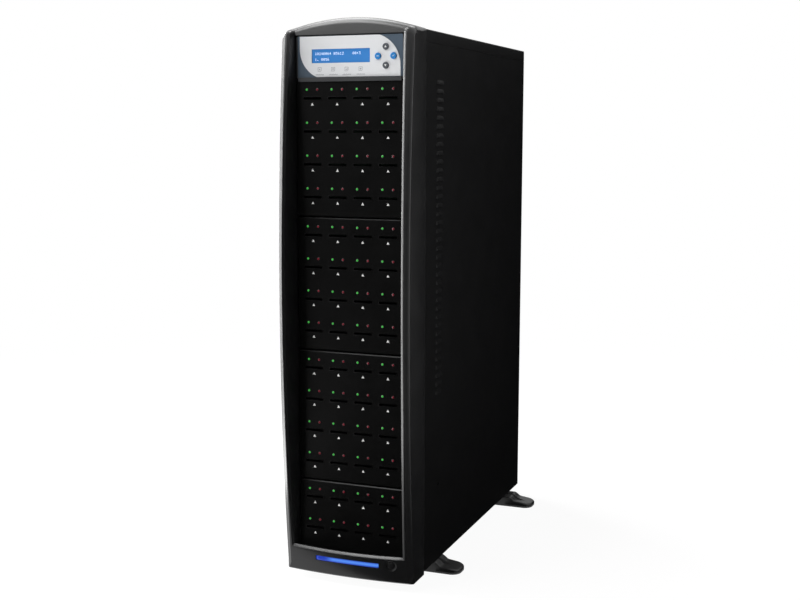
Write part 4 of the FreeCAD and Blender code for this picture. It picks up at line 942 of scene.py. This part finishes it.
def power_button():
    """A round cap with a crowned top, on a flange behind the chin."""
    reach = skin(*POWER)
    profile = [(AXIS, POWER_REAR), (POWER_RADIUS, POWER_REAR), (POWER_RADIUS, reach + POWER_SIDE)]
    profile += rounded(POWER_RADIUS, reach + POWER_SETBACK, POWER_EDGE, POWER_EDGE_DEPTH, 8)
    profile += dished(POWER_RADIUS - POWER_EDGE, reach + POWER_SETBACK, -POWER_CROWN)
    cap = turned("power_cap", profile, POWER, 56)
    flange = block_mesh("power_flange", (POWER[0] - FLANGE_HALF, POWER[0] + FLANGE_HALF),
                        (POWER_REAR, POWER_REAR + FLANGE_DEPTH),
                        (POWER[1] - FLANGE_HALF, POWER[1] + FLANGE_RISE))
    made = piece("power_cap", joined("power_cap", [cap, flange]), BEZEL, "power_button")
    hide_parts("power_button")


keys()
power_button()


# Louvres over the side vents

VENTS = 37
VENT_PITCH = 11.6
FIRST_VENT = TOP - 66.5
LOUVRE_START = SEAM + 54.0 - 13.0
LOUVRE_LENGTH = 26.0
LOUVRE_REACH = 1.5
LOUVRE_SHEET = 0.5
LOUVRE_STEPS = 14
LOUVRE_SWELL = 4.5
LOUVRE_POWER = 0.9
LOUVRE_OUTSIDE = ((0.0, 3.4), (0.45, 1.6), (0.85, -0.6), (1.0, -2.2))
LOUVRE_INSIDE = ((1.0, -2.3), (0.85, -0.6), (0.45, 1.4))
LOUVRE_ROOT = (-0.4, 3.0)


def louvres():
    """A pressed hood over each vent: it leans out to its lower edge and closes at both ends."""
    rings = []
    for step in range(LOUVRE_STEPS + 1):
        share = step / LOUVRE_STEPS
        y = LOUVRE_START + LOUVRE_LENGTH * share
        swell = 0.0
        if 0 < share < 1:
            swell = min(1.0, LOUVRE_SWELL * sin(pi * share) ** LOUVRE_POWER)
        reach = LOUVRE_REACH * swell
        ring = [(reach * part, y, z) for part, z in LOUVRE_OUTSIDE]
        ring += [(max(0.0, reach * part - LOUVRE_SHEET), y, z) for part, z in LOUVRE_INSIDE]
        ring.append((LOUVRE_ROOT[0], y, LOUVRE_ROOT[1]))
        rings.append(ring)
    hood = skinned("louvre", rings)
    mirrored = hood.copy()
    mirrored.transform(Matrix.Scale(-1, 4, (1, 0, 0)))
    for name, x, shape in (("right_louvres", HALF, hood), ("left_louvres", -HALF, outward(mirrored))):
        places = [(x, 0.0, FIRST_VENT - VENT_PITCH * number) for number in range(VENTS)]
        piece(name, repeated(name, shape, places), CASE)


louvres()


# Feet

FOOT_PLACES = {"front_left": (-59.5, -138.07), "front_right": (59.5, -138.07),
               "rear_left": (-69.5, 196.93), "rear_right": (69.5, 196.93)}
FOOT_HALF = 18.5
FOOT_REACH = 68.0
FOOT_TIP = 14.0
FOOT_FLANK = FOOT_REACH - FOOT_TIP
FLANK_STEPS = 20
FOOT_TIP_STEPS = 12
FOOT_PIVOT_STEPS = 24
FOOT_HEIGHTS = ((-20.0, 15.7), (33.5, 15.7), (41.0, 10.0), (FOOT_REACH, 6.5))
FOOT_SOLE = ((0.6, 0.0), (0.0, 0.6))
FOOT_EDGE = 2.2
FOOT_TOP_INSETS = (7.0, 12.0, 15.5)
FOOT_END_INSET = 13.0
FOOT_BORE = 4.15
FOOT_BORE_DEPTH = 50.0


def foot_outline():
    """The plan of an arm: a half round at the pivot, straight flanks, a rounded tip, with its normals."""
    out = []
    for step in range(FOOT_PIVOT_STEPS + 1):
        turn = pi / 2 + pi * step / FOOT_PIVOT_STEPS
        out.append((FOOT_HALF * cos(turn), FOOT_HALF * sin(turn), cos(turn), sin(turn)))
    for step in range(1, FLANK_STEPS):
        out.append((FOOT_FLANK * step / FLANK_STEPS, -FOOT_HALF, 0.0, -1.0))
    for start, side in ((-pi / 2, -FOOT_HALF + FOOT_TIP), (0.0, FOOT_HALF - FOOT_TIP)):
        for turn in quarter(FOOT_TIP_STEPS):
            i = cos(start + turn)
            k = sin(start + turn)
            out.append((FOOT_FLANK + FOOT_TIP * i, side + FOOT_TIP * k, i, k))
    for step in range(1, FLANK_STEPS):
        out.append((FOOT_FLANK - FOOT_FLANK * step / FLANK_STEPS, FOOT_HALF, 0.0, 1.0))
    return out


def foot_mesh():
    """An arm: full height under the case, a ramp down, then a slow fall to the tip."""
    plan = foot_outline()
    rings = [[(x - i * inset, y - k * inset, z) for x, y, i, k in plan] for inset, z in FOOT_SOLE]
    for turn in quarter(6):
        inset = FOOT_EDGE * (1 - cos(turn))
        drop = FOOT_EDGE * (1 - sin(turn))
        inner = [(x - i * inset, y - k * inset) for x, y, i, k in plan]
        rings.append([(x, y, level_at(FOOT_HEIGHTS, x) - drop) for x, y in inner])
    for inset in FOOT_TOP_INSETS:
        along = min(inset, FOOT_END_INSET)
        inner = [(x - i * along, y - k * inset) for x, y, i, k in plan]
        rings.append([(x, y, level_at(FOOT_HEIGHTS, x)) for x, y in inner])
    whole = skinned("foot_shape", rings)
    bore = bmesh.new()
    bmesh.ops.create_cone(bore, cap_ends=True, segments=48, radius1=FOOT_BORE * MM, radius2=FOOT_BORE * MM,
                          depth=FOOT_BORE_DEPTH * MM)
    tool = bpy.data.meshes.new("foot_bore")
    bore.to_mesh(tool)
    bore.free()
    return carved(whole, tool)


def feet():
    shape = foot_mesh()
    for name, (x, y) in FOOT_PLACES.items():
        copy = shape.copy()
        copy.transform(Matrix.Translation(mm(x, y, 0.0)) @ Matrix.Rotation(pi if x < 0 else 0.0, 4, "Z"))
        made = piece(f"{name}_arm", copy, FOOT, f"{name}_foot", 40.0)
        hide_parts(f"{name}_foot")


feet()


# Fans and screws at the back

ROTOR_CLEAR = 4.5
ROTOR_DEPTH = 18.5
ROTOR_BORE = 2.06
ROTOR_EDGE = 1.5
BLADES = 7
BLADE_STEPS = 10
BLADE_ROOT = 0.6
BLADE_GAP = 3.2
BLADE_CHORD = 0.62
BLADE_WIDEN = 0.22
BLADE_SPAN = 6.0
BLADE_SWEEP = 0.32
BLADE_CLEAR = 3.0
BLADE_DEPTH = 11.5
BLADE_CAMBER = 1.8
BLADE_SECTION = ((0.0, 0.0), (0.25, 0.5), (0.5, 0.7), (0.75, 0.5), (1.0, 0.1), (0.75, -0.5), (0.5, -0.7),
                 (0.25, -0.5))
EXHAUST_CENTRE = (0.0, 540.0)
PSU_CENTRE = (-26.0, 683.5)
SCREW_SHANK = 1.5
SCREW_LENGTH = 6.0
SCREW_RADIUS = 3.2
SCREW_RIM = 0.8
SCREW_DOME = 1.2
SCREW_TURN = 0.92
CROSS_LONG = 1.7
CROSS_SLIM = 0.35
CROSS_LEVELS = (REAR + 1.1, REAR + 3.0)
SCREW_PLACES = ((85.5, (52.0, 698.2)), (71.0, (644.5, 722.5)), (52.5, (487.5, 592.5)))


def rotor(name, body, node, centre, back, hub, bore):
    """A capped hub with seven swept blades."""
    rear = back - ROTOR_CLEAR
    front = rear - ROTOR_DEPTH
    profile = [(ROTOR_BORE, rear), (hub, rear), (hub, front + ROTOR_EDGE)]
    profile += rounded(hub, front, ROTOR_EDGE, ROTOR_EDGE, 5)
    profile += [(hub * 0.5, front), (AXIS, front)]
    meshes = [turned("hub", profile, centre, 56)]
    for number in range(BLADES):
        rings = []
        for step in range(BLADE_STEPS + 1):
            share = step / BLADE_STEPS
            radius = hub - BLADE_ROOT + (bore - BLADE_GAP - hub + BLADE_ROOT) * share
            chord = (BLADE_CHORD + BLADE_WIDEN * share) * (hub + BLADE_SPAN)
            sweep = 2 * pi * number / BLADES + BLADE_SWEEP * share
            section = []
            for along, thick in BLADE_SECTION:
                camber = BLADE_CAMBER * sin(pi * along)
                y = rear - BLADE_CLEAR - BLADE_DEPTH * along + thick + camber
                section.append(swung(centre, radius, sweep + chord * (along - 0.5) / radius, y))
            rings.append(section)
        meshes.append(skinned("blade", rings))
    made = piece(name, joined(name, meshes), FAN, body)
    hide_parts(node)


def rear_screws():
    """Pan heads with a cross recess, on short shanks."""
    end = REAR - SCREW_LENGTH
    rim = REAR + SCREW_RIM
    head = [(AXIS, end), (SCREW_SHANK, end), (SCREW_SHANK, REAR), (SCREW_RADIUS, REAR), (SCREW_RADIUS, rim)]
    for turn in quarter(6)[1:]:
        head.append((SCREW_RADIUS * cos(turn * SCREW_TURN), rim + SCREW_DOME * sin(turn)))
    head.append((AXIS, rim + SCREW_DOME))
    shape = turned("screw", head, (0.0, 0.0), 32)
    level = block_mesh("cross_level", (-CROSS_LONG, CROSS_LONG), CROSS_LEVELS, (-CROSS_SLIM, CROSS_SLIM))
    upright = block_mesh("cross_upright", (-CROSS_SLIM, CROSS_SLIM), CROSS_LEVELS, (-CROSS_LONG, CROSS_LONG))
    shape = carved(shape, level, upright)
    places = [(sign * x, 0.0, z) for x, levels in SCREW_PLACES for sign in (-1, 1) for z in levels]
    made = piece("rear_screw_heads", repeated("rear_screw_heads", shape, places), PLATED)
    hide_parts("rear_screws")


rotor("exhaust_blades", "exhaust_fan_rotor", "exhaust_fan_rotor", EXHAUST_CENTRE, REAR - 1.0, 21.0, 57.5)
rotor("psu_blades", "psu_fan_rotor", "psu_fan_rotor", PSU_CENTRE, REAR - 1.8, 15.0, 37.5)
rear_screws()


# Camera

CAMERA_PLACE = (648.0, -1708.0, 604.3)
YAW = radians(21.39)
PITCH = radians(7.66)
ROLL = radians(0.11)

camera = bpy.data.cameras.new("camera")
camera.lens = 55.42
camera.sensor_width = 36.0
camera.sensor_fit = "HORIZONTAL"
camera.clip_end = 50.0
viewer = placed("camera", camera)
viewer.matrix_world = (Matrix.Translation(mm(*CAMERA_PLACE)) @ Matrix.Rotation(YAW, 4, "Z")
                       @ Matrix.Rotation(pi / 2 - PITCH, 4, "X") @ Matrix.Rotation(ROLL, 4, "Z"))
bpy.context.scene.camera = viewer


# Lamps of the studio: name, place, target and size in metres, power in watts

LAMPS = (
    ("left_strip", (-1.6, -0.36, 0.6), (0.0, -0.2, 0.42), (0.6, 1.6), 50.0),
    ("left_bounce", (-0.85, -0.4, 0.03), (-0.85, -0.4, 1.0), (1.0, 0.7), 12.0),
    ("back_strip", (-1.2, 0.9, 0.6), (0.0, -0.1, 0.42), (0.5, 1.6), 28.0),
    ("top_softbox", (-0.6, -0.8, 1.85), (0.0, -0.2, 0.4), (0.8, 0.7), 17.0),
    ("hair_light", (-0.5, 0.15, 1.9), (0.0, -0.2, 0.7), (0.9, 0.8), 18.0),
    ("right_strip", (1.5, -0.25, 0.5), (0.0, -0.2, 0.42), (0.12, 1.4), 3.0),
    ("front_fill", (-0.75, -1.75, 1.25), (0.0, -0.2, 0.7), (0.8, 0.4), 3.0),
)


def lamp(name, place, target, size, power):
    light = bpy.data.lights.new(name, "AREA")
    light.shape = "RECTANGLE"
    light.size, light.size_y = size
    light.energy = power
    made = placed(name, light)
    made.visible_camera = False
    aim = Vector(target) - Vector(place)
    made.matrix_world = Matrix.Translation(Vector(place)) @ aim.to_track_quat("-Z", "Y").to_matrix().to_4x4()


for row in LAMPS:
    lamp(*row)


# World, floor and dark screens

WHITE_LIGHT = (1.0, 1.0, 1.0, 1.0)
WORLD_LIGHT = 0.08
FLOOR_PAINT = (0.85, 0.85, 0.85, 1.0)
FLOOR_RANGE = (0.6, 2.0)
FLOOR_SHARE = (0.88, 1.0)
FLOOR_STRENGTH = (1.08, 1.0)
FLOOR_REACH = 9000.0
SCREEN_LEVEL = 3.0
SCREEN_STEPS = 24
SCREEN_START = -118.0
SCREEN_TURN = 83.0
SCREEN_NEAR = 300.0
SCREEN_FAR = 1400.0
SCREEN_TOP = 1000.0
SCREEN_EDGE = -251.0
SLANT = 70.0
SLANT_END = 60.0
SLANT_LENGTH = 200.0
BACK_X = (94.0, 900.0)
BACK_Y = (-250.0, 700.0, 1900.0)
BACK_TOP = 1200.0


def background_seen(tree):
    """One for what the camera sees, straight or in a mirror or through glass, and nought for other light."""
    path = tree.nodes.new("ShaderNodeLightPath")
    straight = reckoned(tree, "ADD", path.outputs["Is Camera Ray"], path.outputs["Is Glossy Ray"])
    return reckoned(tree, "ADD", straight, path.outputs["Is Transmission Ray"], clamp=True)


def empty_tree(holder):
    holder.use_nodes = True
    holder.node_tree.nodes.clear()
    return holder.node_tree


def studio_world():
    world = bpy.data.worlds.new("studio")
    bpy.context.scene.world = world
    tree = empty_tree(world)
    out = tree.nodes.new("ShaderNodeOutputWorld")
    choice = tree.nodes.new("ShaderNodeMixShader")
    tree.links.new(background_seen(tree), choice.inputs["Fac"])
    for number, strength in ((1, WORLD_LIGHT), (2, 1.0)):
        part = tree.nodes.new("ShaderNodeBackground")
        part.inputs["Color"].default_value = WHITE_LIGHT
        part.inputs["Strength"].default_value = strength
        tree.links.new(part.outputs["Background"], choice.inputs[number])
    tree.links.new(choice.outputs["Shader"], out.inputs["Surface"])


def stage_piece(name, points, faces, material):
    mesh = mesh_from(name, points, faces)
    mesh.materials.append(material)
    made = placed(name, mesh)
    return made


def white_floor():
    """White far out; near the object part of it is plain paint, which keeps the shadow."""
    ground = bpy.data.materials.new("white_floor")
    tree = empty_tree(ground)
    out = tree.nodes.new("ShaderNodeOutputMaterial")
    paint = tree.nodes.new("ShaderNodeBsdfDiffuse")
    paint.inputs["Color"].default_value = FLOOR_PAINT
    white = tree.nodes.new("ShaderNodeEmission")
    white.inputs["Color"].default_value = WHITE_LIGHT
    place = tree.nodes.new("ShaderNodeNewGeometry")
    length = tree.nodes.new("ShaderNodeVectorMath")
    length.operation = "LENGTH"
    tree.links.new(place.outputs["Position"], length.inputs[0])
    distance = length.outputs["Value"]
    tree.links.new(mapped(tree, distance, FLOOR_RANGE, FLOOR_STRENGTH), white.inputs["Strength"])
    share = mapped(tree, distance, FLOOR_RANGE, FLOOR_SHARE)
    choice = tree.nodes.new("ShaderNodeMixShader")
    tree.links.new(reckoned(tree, "MULTIPLY", background_seen(tree), share), choice.inputs["Fac"])
    tree.links.new(paint.outputs["BSDF"], choice.inputs[1])
    tree.links.new(white.outputs["Emission"], choice.inputs[2])
    tree.links.new(choice.outputs["Shader"], out.inputs["Surface"])
    corners = [(x, y, 0.0) for x, y in rectangle(FLOOR_REACH, FLOOR_REACH)]
    stage_piece("floor", corners, [(0, 1, 2, 3)], ground)


def dark_screen(name, points, faces, material):
    """A dark cloth for dark reflections on one side; the camera and the other light pass through it."""
    made = stage_piece(name, points, faces, material)
    made.visible_camera = False
    made.visible_diffuse = False
    made.visible_transmission = False
    made.visible_shadow = False


def front_screen(cloth):
    """It lies on the floor before the object, slants at its near edge and turns up at its far edge."""
    points = []
    for step in range(SCREEN_STEPS + 1):
        turn = radians(SCREEN_START + SCREEN_TURN * step / SCREEN_STEPS)
        x = SCREEN_NEAR * cos(turn)
        slant = min(1.0, max(0.0, (SLANT_END - x) / SLANT_LENGTH))
        far_x = SCREEN_FAR * cos(turn)
        far_y = SCREEN_FAR * sin(turn)
        points += [(x, SCREEN_EDGE - SLANT * slant, SCREEN_LEVEL),
                   (far_x, far_y, SCREEN_LEVEL), (far_x, far_y, SCREEN_TOP)]
    faces = []
    for step in range(SCREEN_STEPS):
        for first in (step * 3, step * 3 + 1):
            faces.append((first, first + 1, first + 4, first + 3))
    dark_screen("front_screen", points, faces, cloth)


def back_screen(cloth):
    """It lies on the floor at the right and turns up behind and at its far side."""
    near, far = BACK_X
    front, middle, back = BACK_Y
    low, high = SCREEN_LEVEL, BACK_TOP
    points = [(near, front, low), (far, front, low), (far, back, low), (near, back, low),
              (near, back, high), (far, back, high), (far, middle, high), (far, middle, low)]
    dark_screen("back_screen", points, [(0, 1, 2, 3), (3, 2, 5, 4), (2, 7, 6, 5)], cloth)


studio_world()
white_floor()
dark_cloth = surface("dark_cloth", (12, 12, 12), 0.9, specular=0.0)
front_screen(dark_cloth)
back_screen(dark_cloth)

bpy.context.scene.view_settings.view_transform = "Standard"
